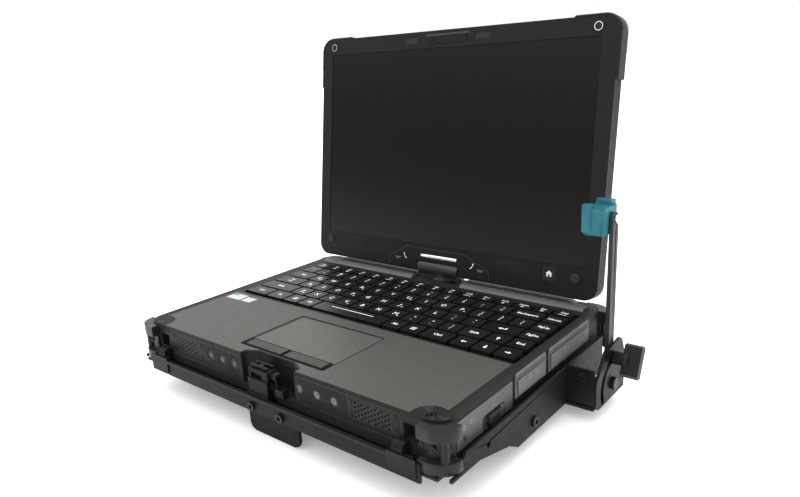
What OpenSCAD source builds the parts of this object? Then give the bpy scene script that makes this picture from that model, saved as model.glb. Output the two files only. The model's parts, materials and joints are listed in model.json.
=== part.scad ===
// Rugged convertible laptop computer, locked in its vehicle docking cradle, with a screen support arm.
// Frame: +X to the user's right, +Y to the rear, +Z up. The origin is the middle of the cradle's
// bolt pattern on its underside. Deck modules use the deck frame: its zero is the front edge of the deck.

/* [Base unit] */
// Width of the base unit
base_w = 290; // [282:1:310]
// Depth of the base unit
base_d = 208; // [208:1:220]
// Height of the base unit, from its underside to its deck
base_h = 28; // [27:0.5:30]
// Corner radius of the base unit in plan
base_r = 12; // [8:1:16]
// Wall thickness of the base cases
case_wall = 2; // [1.6:0.2:2.6]
// Height of the top case's skirt
skirt_h = 4; // [3.5:0.1:4.5]
// Thickness of the metal palm rest
palm_t = 1; // [0.8:0.1:1.4]
// How far the rubber bumpers stand out beyond the case
bumper_out = 6; // [4:0.5:7]

/* [Keyboard and touchpad] */
// Width of one key unit
key_unit = 17.3; // [16:0.1:17.5]
// Depth of one full key row
key_row = 16.5; // [15.5:0.1:16.6]
// Depth of the function key row
function_row = 11.5; // [10:0.1:12]
// Gap between neighbouring key caps
key_gap = 2.2; // [1.8:0.1:3]
// Height of the key caps above the deck
key_top = 1.2; // [0.8:0.1:1.6]
// Travel of a key
key_travel = 1.8; // [1.2:0.1:2]
// Width of the touchpad recess
pad_w = 83; // [70:1:90]
// Depth of the touch surface
pad_d = 47; // [40:1:48]
// Travel of the touchpad buttons
pad_button_travel = 0.6; // [0.4:0.1:0.8]

/* [Display] */
// Width of the display lid
lid_w = 291; // [286:1:298]
// Height of the display lid
lid_h = 206; // [198:1:212]
// Thickness of the display lid
lid_t = 12; // [11:0.5:12]
// Width of the glass
glass_w = 267; // [262:1:272]
// Height of the glass
glass_h = 168; // [164:1:170]
// How far the opened lid leans back from upright, in degrees
lid_lean = 8.3; // [0:0.1:30]
// Radius of the swivel hinge's barrel
barrel_r = 7.5; // [6:0.5:8]
// Length of the swivel hinge's barrel
barrel_l = 42; // [36:1:48]
// Radius of the hinge pin
pin_r = 2.5; // [2:0.1:3]

/* [Cradle] */
// Depth of the cradle from its front lip to its rear edge
cradle_d = 204; // [196:1:216]
// Depth of the cradle's body below the base unit
cradle_drop = 18; // [16:1:24]
// Sheet thickness of the cradle
sheet = 2; // [1.5:0.1:2.5]
// Gap between the base unit and each side flange
flange_gap = 4; // [3.5:0.1:6]
// Bolt spacing of the pattern in the cradle's floor
bolt_pitch = 75; // [75:25:100]
// Diameter of the bolt holes in the cradle's floor
bolt_hole_d = 5.5; // [4.5:0.1:6.5]

/* [Support arm] */
// Distance from the arm's lower pivot to the pin of the edge clip
arm_l = 116; // [100:1:125]
// Width of the support arm
arm_w = 9; // [8:0.5:11]
// Thickness of the support arm
arm_t = 3; // [2:0.1:3.2]
// Radius of the curved slot in the arm bracket
slot_r = 18.5; // [17:0.5:19]
// Diameter of the arm's pivot bolt
pivot_d = 5; // [4:0.1:6]

/* [Hidden] */
$fn = 48;
eps = 0.01;
run_gap = 0.05;    // radial gap of a running fit
free_gap = 0.3;    // gap between pieces that move apart
seat_gap = 0.1;    // gap round a piece that is let in

deck_z = base_h + cradle_drop;
deck_y = 110;
hw = base_w / 2;
skirt_z = -skirt_h;
floor_z = -base_h;

notch_w = 54;       // latch recess in the front edge
notch_d = 9;
notch_chamfer = 5;
front_t = 1.5;      // front panels
front_x0 = notch_w / 2 + 1;
front_x1 = hw - 29;
front_z0 = -22;
front_z1 = -1.6;
grille_x = 93;
grille_w = 41;
grille_h = 15;
front_row_z = -11;
button_xs = [-63, -49.5, -36];
light_xs = [31, 47, 62];
button_r = 4;
button_t = 0.5;
button_travel = 0.6;
ear_x = hw - 12;    // ear with the bumper's screw
ear_y = 5;
ear_r = 12;
bumper_reach_x = 15;
bumper_reach_y = 8;
strap_x = [hw - 28, hw - 18];   // strap recess in the front face

keys_w = 15.5 * key_unit;
keys_x = 3 - keys_w / 2;
keys_d = 5 * key_row + function_row;
keys_y = base_d - 27.5 - keys_d;
well_margin = 3;
well_z = -3.5;      // upper face of the keyboard tray
tray_t = 1.5;
cap_bottom = -1.6;
stem_r = 2;
palm_x = hw - 7;
palm_y1 = keys_y - well_margin - 0.5;

pad_x = 0.7;
pad_y0 = 24.5;
pad_button_y0 = 12.5;
pad_button_d = 9.5;
pad_button_w = pad_w / 2 - 4;
pad_recess = 0.6;
pad_t0 = -1.4;      // underside of the touch surface

side_z0 = -18.5;    // sill of the door openings in the base's sides
battery_z0 = -22.5; // sill of the battery openings
battery_y = [10.5, 71];
door_ys = [[73.5, 115], [117.5, base_d - 26]];
side_t = 2;
door_gap = 0.4;
left_door_y = [door_ys[0][0], door_ys[1][1]];
slide_y = 49;
slide_l = 13;
slide_travel = 4;
slide_z = [-21.5, -14];

hinge_y = base_d - 8;
closed_gap = 4;     // gap between the deck and the closed lid
hinge_z = lid_t / 2 + closed_gap;
ridge_h = 2.5;
ridge_y0 = hinge_y - 11.5;
ridge_d = 11;
strip_d = 7;        // flat strip behind each ridge
ridge_x0 = 26;
ridge_x1 = 137;
turntable_r = 8;
post_r = 4.5;
lug_l = 10;

lid_bottom = -4;
lid_r = 11;
lid_n0 = -lid_t / 2;
lid_n1 = lid_t / 2;
bezel_t = 3;
glass_t = 1;
glass_v0 = 20;
glass_n1 = lid_n1 - 0.5;
lcd_w = 262;
lcd_h = 156;
lcd_t = 3;
lid_notch_x = barrel_l / 2 + 1;
lid_notch_v = barrel_r + 1;
plate_v0 = lid_bottom + 2;
plate_v1 = 16.5;
stud_x = 130.5;
stud_v = lid_bottom + lid_h - 7.5;
low_pad_v = 12;
latch_x = -1;
home_x = 106;
home_s = 8;
home_travel = 0.5;
guard_t = 1.6;
guard_v = 44;

flange_x = hw + flange_gap;
cradle_y0 = -6;
cradle_z = -base_h - cradle_drop;
front_floor_z = floor_z - 2;
flange_top = -20;
lip_x = hw - 12;
flange_hole_r = 1.8;
paddle_rod_r = 1.5;
lip_z0 = -36;
lip_z1 = -24;
lip_screw_xs = [-10, 19];
paddle_x = 4;
paddle_w = 50;
paddle_h = 20;
paddle_y = -1.5;
paddle_z = -34.6;
hook_x = hw - 25;
catch_x = -4;
catch_w = 24;

pivot_y = 160;
pivot_z = -36;
bracket_x = flange_x + 24;
bracket_y0 = 132;
arm_x = bracket_x - sheet - 0.4 - arm_t;
arm_top_y = 163;
arm_pin_r = 1.8;
knob_y = pivot_y + slot_r * sin(6);
knob_z = pivot_z + slot_r * cos(6);
stud_r = 2;
arm_lean = atan((arm_top_y - pivot_y) / arm_l);
clip_v = pivot_z + arm_l * cos(arm_lean);
clip_x0 = hw + 7.5;

// Places its children in the deck frame: zero at the middle of the deck's front edge.
module deck() {
    translate([0, -deck_y, deck_z]) children();
}

// Places its children in the lid frame: X along the hinge pin, Z up the lid, -Y out of the screen.
module lid() {
    deck() translate([0, hinge_y, hinge_z]) rotate([-lid_lean, 0, 0]) children();
}

// Flat rounded rectangle from one corner to the other.
module rrect(x0, y0, x1, y1, r) {
    translate([x0 + r, y0]) square([x1 - x0 - 2 * r, y1 - y0]);
    translate([x0, y0 + r]) square([x1 - x0, y1 - y0 - 2 * r]);
    for (x = [x0 + r, x1 - r], y = [y0 + r, y1 - r]) translate([x, y]) circle(r);
}

// Upright block with rounded corners in plan, between two heights.
module slab(x0, y0, x1, y1, z0, z1, r) {
    translate([0, 0, z0]) linear_extrude(z1 - z0) rrect(x0, y0, x1, y1, r);
}

// Plain block between two corners.
module block(a, b) {
    translate(a) cube(b - a);
}

// Plate on the lid: rounded in the lid's plane, between two distances out of its middle.
module lid_slab(x0, v0, x1, v1, n0, n1, r) {
    rotate([90, 0, 0]) slab(x0, v0, x1, v1, n0, n1, r);
}

// Outline of the base unit in plan.
module base_plan(inset = 0) {
    rrect(-hw + inset, inset, hw - inset, base_d - inset, base_r - inset);
}

// Outline of the latch recess in plan: a notch with chamfered inner corners.
module notch_plan(extra = 0) {
    w = notch_w / 2 + extra;
    d = notch_d + extra;
    polygon([[-w, -5], [w, -5], [w, d - notch_chamfer], [w - notch_chamfer * 2, d],
             [-w + notch_chamfer * 2, d], [-w, d - notch_chamfer]]);
}

// Mirrored pair.
module both() {
    children();
    mirror([1, 0, 0]) children();
}

// Recesses in the front face for the two front panels.
module front_pockets() {
    both() block([front_x0, -1, front_z0], [front_x1, front_t, front_z1]);
}

// Openings in the base's right side over the given stretches, down to a sill.
module side_openings(stretches, sill) {
    for (y = stretches)
        block([hw - case_wall - 1, y[0], sill], [hw + 1, y[1], skirt_z + eps]);
}

module bottom_case() {
    color([0.16, 0.16, 0.16]) deck() difference() {
        translate([0, 0, floor_z]) linear_extrude(base_h - skirt_h) base_plan();
        difference() {
            translate([0, 0, floor_z + case_wall]) linear_extrude(base_h) base_plan(case_wall);
            translate([0, 0, floor_z]) linear_extrude(base_h) notch_plan(case_wall);
            both() block([front_x0, 0, floor_z], [front_x1 + 2, front_t + case_wall, 0]);
            both() block([hw - 31, 0, floor_z], [hw, battery_y[0] - 1, 0]);
            both() block([hw - 7, battery_y[1] + 0.2, floor_z], [hw, door_ys[0][0] - 0.2, 0]);
        }
        translate([0, 0, front_z0]) linear_extrude(base_h) notch_plan();
        front_pockets();
        both() side_openings([battery_y], battery_z0);
        side_openings(door_ys, side_z0);
        mirror([1, 0, 0]) side_openings([left_door_y], side_z0);
        both() block([strap_x[0], -1, -17], [strap_x[1], 6, -7]);
        for (x = [-1, 1] * ear_x) translate([x, ear_y, -12]) cylinder(h = 12, r = 1.2);
        for (x = [-1, 1] * grille_x) {
            block([x - 17, -1, front_row_z - 6], [x + 17, front_t + case_wall + 1, front_row_z + 6]);
        }
        for (x = button_xs) translate([x, -1, front_row_z]) rotate([-90, 0, 0])
            cylinder(h = front_t + case_wall + 2, r = button_r - 1);
    }
}

module top_case() {
    y1 = keys_y + keys_d + well_margin;
    x0 = keys_x - well_margin;
    x1 = keys_x + keys_w + well_margin;
    color([0.24, 0.24, 0.235]) deck() difference() {
        union() {
            difference() {
                translate([0, 0, skirt_z]) linear_extrude(skirt_h) base_plan();
                block([-hw + case_wall, case_wall, skirt_z - 1], [hw - case_wall, base_d - case_wall, -2.5]);
            }
            intersection() {
                translate([0, 0, skirt_z]) linear_extrude(skirt_h) base_plan();
                union() {
                    translate([0, 0, skirt_z]) linear_extrude(skirt_h) notch_plan(case_wall);
                    both() block([front_x0 - 1, 0, skirt_z], [front_x1 + 2, front_t + case_wall, -1]);
                }
            }
            for (x = [-1, 1] * ear_x) translate([x, ear_y + 4, skirt_z]) cylinder(h = 3, r = 4);
        }
        block([x0, keys_y - well_margin, -10], [x1, y1, 1]);
        translate([0, 0, -10]) linear_extrude(11) notch_plan();
        front_pockets();
        translate([0, 0, -palm_t]) linear_extrude(palm_t + 1) palm_plan(0);
        block([pad_x - pad_w / 2 + 1, pad_button_y0 - free_gap, -10], [pad_x + pad_w / 2 - 1, pad_y0 + pad_d - 1, 1]);
        for (x = [-1, 1] * ear_x) translate([x, ear_y, -5]) cylinder(h = 6, r = 1.5);
        for (x = [-1, 1] * ear_x) translate([x, ear_y, -1.2]) cylinder(h = 2, r = 3);
        translate([0, hinge_y, -5]) cylinder(h = 6, r = post_r + run_gap);
        block([pad_x - pad_w / 2, pad_y0 - 1.6, pad_t0], [pad_x + pad_w / 2, pad_y0 + pad_d, 1]);
    }
}

// Outline of the palm rest, less the ears at the corners and the latch notch.
module palm_plan(gap) {
    difference() {
        rrect(-palm_x + gap, 0.8 + gap, palm_x - gap, palm_y1 - gap, 2);
        for (x = [-1, 1] * ear_x) translate([x, ear_y - 2]) circle(ear_r + gap);
        notch_plan(1.2 + gap);
    }
}

module palm_rest() {
    color([0.44, 0.43, 0.41]) deck() translate([0, 0, -palm_t]) linear_extrude(palm_t) difference() {
        palm_plan(seat_gap);
        rrect(pad_x - pad_w / 2, pad_button_y0 - 1.5, pad_x + pad_w / 2, pad_y0 + pad_d, 1.2);
    }
}

// Left edge, in key units, of key i in a row of key widths.
function key_start(row, i) = i == 0 ? 0 : row[i - 1] + key_start(row, i - 1);
// Front edge of key row r, counted from the front.
function row_y(r) = keys_y + r * key_row;

row_bottom = [1.5, 1.25, 1, 1, 4.25, 1, 1, 1.5, 1, 1, 1];
row_lower = [2.25, 1, 1, 1, 1, 1, 1, 1, 1, 1, 1, 1.25, 1, 1];
row_home = [1.75, 1, 1, 1, 1, 1, 1, 1, 1, 1, 1, 1, 1.75, 1];
row_upper = [1.5, 1, 1, 1, 1, 1, 1, 1, 1, 1, 1, 1, 1, 1, 1];
row_number = [1, 1, 1, 1, 1, 1, 1, 1, 1, 1, 1, 1, 1, 1.5, 1];
row_function = [for (i = [0:15]) 15.5 / 16];
KEY_ROWS = [row_bottom, row_lower, row_home, row_upper, row_number, row_function];
space_index = 4;

// Middle of key i of row r in the deck frame.
function key_mid(r, i) = [
    keys_x + (key_start(KEY_ROWS[r], i) + KEY_ROWS[r][i] / 2) * key_unit,
    row_y(r) + (r == 5 ? function_row : key_row) / 2
];

// One key cap with its stem.
module key(r, i) {
    m = key_mid(r, i);
    w = KEY_ROWS[r][i] * key_unit - key_gap;
    d = (r == 5 ? function_row : key_row) - key_gap;
    slab(m.x - w / 2, m.y - d / 2, m.x + w / 2, m.y + d / 2, cap_bottom, key_top, 1.4);
    translate([m.x, m.y, well_z - 0.4]) cylinder(h = cap_bottom - well_z + 0.5, r = stem_r, $fn = 24);
}

// One row of keys; skip leaves out the key with that index.
module key_bank(r, skip = -1) {
    color([0.05, 0.05, 0.05]) deck() for (i = [0:len(KEY_ROWS[r]) - 1]) if (i != skip) key(r, i);
}

module keys_bottom() { key_bank(0, space_index); }
module keys_lower() { key_bank(1); }
module keys_home() { key_bank(2); }
module keys_upper() { key_bank(3); }
module keys_number() { key_bank(4); }
module keys_function() { key_bank(5); }
module key_space() { color([0.05, 0.05, 0.05]) deck() key(0, space_index); }

module keyboard_tray() {
    x0 = keys_x - well_margin + seat_gap;
    x1 = keys_x + keys_w + well_margin - seat_gap;
    y0 = keys_y - well_margin + seat_gap;
    y1 = keys_y + keys_d + well_margin - seat_gap;
    rim = 1.4;
    color([0.06, 0.06, 0.06]) deck() difference() {
        block([x0, y0, well_z - tray_t], [x1, y1, 0]);
        block([x0 + rim, y0 + rim, well_z], [x1 - rim, y1 - rim, 1]);
        for (r = [0:5], i = [0:len(KEY_ROWS[r]) - 1]) {
            m = key_mid(r, i);
            translate([m.x, m.y, well_z - tray_t - 1]) cylinder(h = tray_t + 2, r = stem_r + free_gap, $fn = 24);
        }
    }
}

module touchpad() {
    w = pad_w / 2;
    y1 = pad_y0 + pad_d;
    color([0.42, 0.41, 0.39]) deck() {
        slab(pad_x - w + seat_gap, pad_y0 - 1.4, pad_x + w - seat_gap, y1 - seat_gap, pad_t0, -pad_recess, 1);
        block([pad_x - w + 1.2, pad_y0, pad_t0 - 1.2], [pad_x + w - 1.2, y1 - 1.2, pad_t0]);
    }
}

// One touchpad button with its plunger, on the side given by its sign.
module pad_button(side) {
    x0 = pad_x + side * 1.2;
    x1 = x0 + side * pad_button_w;
    y0 = pad_button_y0;
    color([0.4, 0.39, 0.37]) deck() {
        slab(min(x0, x1), y0, max(x0, x1), y0 + pad_button_d, -1.6, 0.1, 0.8);
        translate([(x0 + x1) / 2, y0 + pad_button_d / 2, -3]) cylinder(h = 2, r = 2);
    }
}

module touchpad_button_left() { pad_button(-1); }
module touchpad_button_right() { pad_button(1); }

// Front panel on one side, with its window for the speaker and its row of round holes.
module front_panel(side, xs, r) {
    color([0.25, 0.25, 0.245]) deck() difference() {
        block([min(side * front_x0, side * front_x1) + seat_gap, 0, front_z0 + seat_gap],
              [max(side * front_x0, side * front_x1) - seat_gap, front_t, front_z1 - seat_gap]);
        block([side * grille_x - grille_w / 2, -1, front_row_z - grille_h / 2],
              [side * grille_x + grille_w / 2, 2, front_row_z + grille_h / 2]);
        for (x = xs) translate([x, -1, front_row_z]) rotate([-90, 0, 0]) cylinder(h = 4, r = r);
    }
}

module front_panel_left() { front_panel(-1, button_xs, button_r + free_gap); }
module front_panel_right() { front_panel(1, light_xs, 3); }

module front_buttons() {
    color([0.3, 0.3, 0.3]) deck() for (x = button_xs) translate([x, 0.3, front_row_z])
        rotate([-90, 0, 0]) {
            cylinder(h = button_t, r = button_r);
            cylinder(h = front_t + case_wall, r = button_r - 1.3);
        }
}

module status_lights() {
    color([0.75, 0.78, 0.78]) deck() for (x = light_xs) translate([x, 0.2, front_row_z])
        rotate([-90, 0, 0]) cylinder(h = front_t - 0.2, r = 3 - run_gap);
}

// Perforated plates, held by a screw at each corner.
module speaker_grilles() {
    w = grille_w / 2 - seat_gap;
    h = grille_h / 2 - seat_gap;
    pitch = 2.6;
    color([0.18, 0.18, 0.18]) deck() for (side = [-1, 1]) translate([side * grille_x, 0, front_row_z])
        difference() {
            union() {
                block([-w, 0.1, -h], [w, 0.9, h]);
                for (x = [-1, 1] * (w - 3), z = [-1, 1] * (h - 3)) translate([x, -0.3, z])
                    rotate([-90, 0, 0]) cylinder(h = 0.8, r = 1.6);
            }
            for (i = [-5:5], j = [-3:3]) if ((i + j) % 2 == 0) translate([i * pitch, -1, j * pitch * 0.6])
                rotate([-90, 0, 0]) cylinder(h = 3, r = 0.7, $fn = 16);
        }
}

module speaker_drivers() {
    color([0.1, 0.1, 0.1]) deck() for (side = [-1, 1]) translate([side * grille_x, front_t, front_row_z]) {
        block([-16, 0, -5.5], [16, 7, 5.5]);
        rotate([90, 0, 0]) cylinder(h = 0.5, r = 4.5);
    }
}

// Rubber bumper round the front right corner: two thick bands joined by a thin recessed web.
module corner_bumper() {
    o = bumper_out;
    difference() {
        intersection() {
            union() {
                slab(0, -o, hw + o, base_d / 2, -10, -1.6, base_r + 2);
                slab(0, -o, hw + o, base_d / 2, floor_z - 1.6, -22.5, base_r + 2);
                slab(0, -2, hw + 2, base_d / 2, -24, -9, base_r + 1);
                translate([hw + o - 6, -o + 6, -24]) cylinder(h = 15, r = 2.6);
            }
            slab(hw - bumper_reach_x, -20, hw + 20, bumper_reach_y, -40, 5, 2);
        }
        translate([0, 0, floor_z]) linear_extrude(base_h + 1) base_plan();
    }
}

module corner_bumpers_front() {
    color([0.22, 0.22, 0.22]) deck() both() corner_bumper();
}

module corner_bumpers_rear() {
    color([0.22, 0.22, 0.22]) deck() translate([0, base_d, 0]) mirror([0, 1, 0]) both() corner_bumper();
}

module bumper_screws() {
    color([0.1, 0.1, 0.1]) deck() for (x = [-1, 1] * ear_x) translate([x, ear_y, 0]) difference() {
        union() {
            translate([0, 0, -1.2]) cylinder(h = 1, r = 2.6);
            translate([0, 0, -9]) cylinder(h = 8, r = 1.2 - run_gap);
        }
        translate([0, 0, -0.8]) cylinder(h = 2, r = 1.2, $fn = 6);
    }
}

// Slide-out battery with its outer panel, on the right side.
module battery() {
    y0 = battery_y[0];
    y1 = battery_y[1];
    block([72, y0 + 2, -24], [hw - case_wall - 1.2, y1 - 2, -7]);
    difference() {
        block([hw - case_wall - 1.2, y0 + free_gap, battery_z0 + free_gap], [hw + 0.4, y1 - free_gap, skirt_z - 0.1]);
        block([hw - 0.8, slide_y - slide_l / 2 - slide_travel - 1, slide_z[0] - 0.5],
              [hw + 1, slide_y + slide_l / 2 + 1, slide_z[1] + 0.5]);
    }
}

module battery_right() { color([0.26, 0.26, 0.25]) deck() battery(); }
module battery_left() { color([0.26, 0.26, 0.25]) deck() mirror([1, 0, 0]) battery(); }

// Sliding battery latch on the right side.
module battery_slide() {
    rotate([90, 0, 90]) translate([0, 0, hw - 0.7]) difference() {
        slab(slide_y - slide_l / 2, slide_z[0], slide_y + slide_l / 2, slide_z[1], 0, 2.6, 2);
        for (i = [-1:1]) translate([slide_y + i * 2.4 - 0.5, slide_z[0] + 2, 2]) cube([1, slide_z[1] - slide_z[0] - 4, 1]);
    }
}

module battery_slide_right() { color([0.3, 0.3, 0.29]) deck() battery_slide(); }
module battery_slide_left() { color([0.3, 0.3, 0.29]) deck() mirror([1, 0, 0]) battery_slide(); }

// Port door on the right side, over the stretch ys, with a raised pad and a bead along its hinge line.
module port_door(ys) {
    y0 = ys[0] + door_gap;
    y1 = ys[1] - door_gap;
    block([hw - side_t, y0, side_z0 + 0.5], [hw + 0.4, y1, skirt_z - 0.3]);
    block([hw + 0.3, y0 + 3, side_z0 + 2], [hw + 1.1, y1 - 3, skirt_z - 2.5]);
    translate([hw + 0.2, y0, skirt_z - 0.8]) rotate([-90, 0, 0]) cylinder(h = y1 - y0, r = 0.5);
}

module port_door_front() { color([0.27, 0.27, 0.26]) deck() port_door(door_ys[0]); }
module port_door_rear() { color([0.2, 0.2, 0.2]) deck() port_door(door_ys[1]); }
module port_doors_left() {
    color([0.2, 0.2, 0.2]) deck() mirror([1, 0, 0]) port_door(left_door_y);
}

// Connector shells behind the port doors: [side, middle in Y, width along Y, height].
PORTS = [[1, 84, 13, 6], [1, 102, 16, 7], [1, 128, 14, 6], [1, 148, 16, 9], [1, 170, 9, 9],
         [-1, 90, 14, 6], [-1, 112, 16, 8], [-1, 140, 16, 9], [-1, 166, 14, 6]];
module io_ports() {
    color([0.6, 0.6, 0.6]) deck() for (p = PORTS) scale([p[0], 1, 1]) difference() {
        block([hw - 18, p[1] - p[2] / 2, side_z0 + 1], [hw - side_t - 1, p[1] + p[2] / 2, side_z0 + 1 + p[3]]);
        block([hw - 12, p[1] - p[2] / 2 + 1, side_z0 + 2], [hw, p[1] + p[2] / 2 - 1, side_z0 + p[3]]);
    }
}

module mainboard() {
    color([0.1, 0.3, 0.15]) deck() {
        block([-hw + 14, 78, side_z0 - 0.8], [hw - 14, 186, side_z0 + 0.9]);
        for (x = [-70, 0, 70], y = [90, 176]) translate([x, y, floor_z + case_wall])
            cylinder(h = side_z0 - 0.8 - floor_z - case_wall, r = 2.5);
        block([-20, 120, side_z0 + 0.9], [20, 160, side_z0 + 3]);
    }
}

module heat_spreader() {
    color([0.7, 0.7, 0.7]) deck() difference() {
        union() {
            block([-90, 100, side_z0 + 5], [90, 180, side_z0 + 7]);
            block([-18, 122, side_z0 + 3], [18, 158, side_z0 + 5]);
        }
        for (x = [-80, 80], y = [106, 174]) translate([x, y, side_z0]) cylinder(h = 10, r = 1.7);
    }
}

module drive_module() {
    color([0.2, 0.2, 0.22]) deck() block([-110, 90, side_z0 + 0.9], [-95, 170, side_z0 + 3.5]);
}

module rubber_feet() {
    color([0.1, 0.1, 0.1]) deck() for (x = [-1, 1] * (hw - 28), y = [17, base_d - 28])
        translate([x, y, front_floor_z]) cylinder(h = floor_z - front_floor_z, r = 7);
}

// Low rounded ribs along the rear of the deck, with a row of small holes in the right one, and the
// flat strips behind them, which slope down at their outer ends.
module hinge_ridges() {
    r = 7.3;
    w = ridge_x1 - ridge_x0;
    y1 = ridge_y0 + ridge_d;
    color([0.34, 0.33, 0.32]) deck() {
        difference() {
            for (side = [-1, 1]) intersection() {
                translate([side * (ridge_x0 + ridge_x1) / 2, ridge_y0 + ridge_d / 2, ridge_h - r])
                    rotate([0, 90, 0]) cylinder(h = w, r = r, center = true);
                block([-hw, ridge_y0, 0], [hw, y1, ridge_h + 1]);
            }
            for (i = [0:5]) translate([70 + i * 9, ridge_y0 + 4, 0.5]) cylinder(h = 5, r = 0.7, $fn = 16);
        }
        both() translate([0, y1, 0]) rotate([-90, 0, 0]) linear_extrude(strip_d)
            polygon([[ridge_x0, 0], [ridge_x0, -ridge_h], [ridge_x1 - 18, -ridge_h], [ridge_x1 - 11, 0]]);
    }
}

module swivel_post() {
    color([0.2, 0.2, 0.2]) deck() translate([0, hinge_y, 0]) difference() {
        union() {
            translate([0, 0, -4.6]) cylinder(h = 6, r = post_r);
            translate([0, 0, -4.6]) cylinder(h = 1.7, r = post_r + 1.2);
            translate([0, 0, 0.1]) cylinder(h = 1.4, r = turntable_r);
            translate([-12, -5, 0.5]) cube([24, 10, hinge_z]);
            translate([-barrel_l / 2, -5, key_top + 0.6]) cube([barrel_l, 10, hinge_z - key_top]);
            translate([-barrel_l / 2, 0, hinge_z]) rotate([0, 90, 0]) cylinder(h = barrel_l, r = barrel_r);
        }
        translate([-barrel_l, 0, hinge_z]) rotate([0, 90, 0]) cylinder(h = 2 * barrel_l, r = pin_r + 0.01);
    }
}

module hinge_pin() {
    l = barrel_l + 2 * (lug_l + 1.5);
    color([0.75, 0.75, 0.76]) deck() translate([-l / 2, hinge_y, hinge_z]) rotate([0, 90, 0])
        cylinder(h = l, r = pin_r);
}

// Outline of the lid, grown or shrunk.
module lid_plan(inset = 0) {
    rrect(-lid_w / 2 + inset, lid_bottom + inset, lid_w / 2 - inset, lid_bottom + lid_h - inset, lid_r - inset);
}

// Notch in the lid's lower edge that clears the swivel barrel at every tilt.
module lid_notch() {
    translate([-lid_notch_x, 0, 0]) rotate([0, 90, 0]) cylinder(h = 2 * lid_notch_x, r = lid_notch_v);
    block([-lid_notch_x, -lid_t, lid_bottom - 10], [lid_notch_x, lid_t, lid_notch_v - 3]);
}

module display_back() {
    n_mid = lid_n1 - bezel_t;
    color([0.12, 0.12, 0.12]) lid() difference() {
        union() {
            difference() {
                rotate([90, 0, 0]) translate([0, 0, lid_n0]) linear_extrude(n_mid - lid_n0) lid_plan();
                rotate([90, 0, 0]) translate([0, 0, lid_n0 + case_wall]) linear_extrude(lid_t) lid_plan(case_wall);
            }
            intersection() {
                rotate([90, 0, 0]) translate([0, 0, lid_n0]) linear_extrude(n_mid - lid_n0) lid_plan();
                union() {
                    both() block([lid_notch_x, -lid_t, lid_bottom], [lid_notch_x + lug_l + 3, lid_t, 8]);
                    block([-lid_notch_x - 3, -lid_t, lid_bottom], [lid_notch_x + 3, lid_t, lid_notch_v + 2]);
                }
            }
        }
        lid_notch();
        translate([-lid_w / 2 + 90, 0, 0]) rotate([0, 90, 0]) cylinder(h = lid_w - 180, r = pin_r + run_gap);
        for (x = [-1, 1] * stud_x) lid_bore(x, stud_v, 1.6);
    }
}

// Straight hole through the lid's face.
module lid_bore(x, v, r) {
    translate([x, 0, v]) rotate([90, 0, 0]) cylinder(h = 4 * lid_t, r = r, center = true);
}

module display_bezel() {
    n0 = lid_n1 - bezel_t;
    color([0.13, 0.13, 0.13]) lid() difference() {
        union() {
            rotate([90, 0, 0]) translate([0, 0, n0]) linear_extrude(bezel_t) lid_plan();
            for (x = [-1, 1] * stud_x) translate([x, -n0 - 1, stud_v]) rotate([-90, 0, 0])
                cylinder(h = n0 - lid_n0 - case_wall + 1, r = 4);
        }
        lid_slab(-glass_w / 2, glass_v0, glass_w / 2, glass_v0 + glass_h, lid_n0, lid_n1 + 1, 2);
        lid_notch();
        for (x = [-1, 1] * stud_x) lid_bore(x, stud_v, 1.6);
        for (x = [-1, 1] * stud_x) translate([x, -lid_n1 - 1, stud_v]) rotate([-90, 0, 0])
            cylinder(h = 2.4, r = 4.2);
        home_pocket();
        latch_pocket();
    }
}

module home_pocket() {
    h = home_s / 2 + 0.2;
    lid_slab(home_x - h, low_pad_v - h, home_x + h, low_pad_v + h, lid_n1 - 2, lid_n1 + 1, 1);
}

module latch_pocket() {
    lid_slab(latch_x - 20, stud_v - 3.5, latch_x + 20, stud_v + 3.5, lid_n1 - 1.4, lid_n1 + 1, 1);
}

module lcd_panel() {
    v = glass_v0 + (glass_h - lcd_h) / 2;
    n1 = glass_n1 - glass_t;
    color([0.05, 0.05, 0.06]) lid() lid_slab(-lcd_w / 2, v, lcd_w / 2, v + lcd_h, n1 - lcd_t, n1, 1);
}

module touch_glass() {
    color([0.08, 0.08, 0.09]) lid() lid_slab(-glass_w / 2 + 0.15, glass_v0 + 0.15, glass_w / 2 - 0.15,
                                            glass_v0 + glass_h - 0.15, glass_n1 - glass_t, glass_n1, 1.9);
}

// Guards round the two upper corners of the lid, clear of its face.
module display_guards() {
    w = lid_w / 2;
    v = lid_bottom + lid_h;
    color([0.1, 0.1, 0.1]) lid() both() difference() {
        union() {
            lid_slab(w - 60, v - 60, w + guard_t, v + guard_t, lid_n0 - 1, lid_n1 - 1, lid_r + guard_t);
            lid_slab(w - 60, v - 60, w + guard_t - 0.8, v + guard_t - 0.8, lid_n1 - 2, lid_n1 + 0.6,
                     lid_r + guard_t - 0.8);
        }
        rotate([90, 0, 0]) translate([0, 0, lid_n0]) linear_extrude(lid_t * 2) lid_plan();
        rotate([90, 0, 0]) translate([0, 0, -lid_t]) linear_extrude(lid_t * 2) lid_plan(6);
        block([0, -20, 0], [w - 34, 20, v + 10]);
        block([0, -20, 0], [w + 10, 20, v - guard_v]);
    }
}

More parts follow.
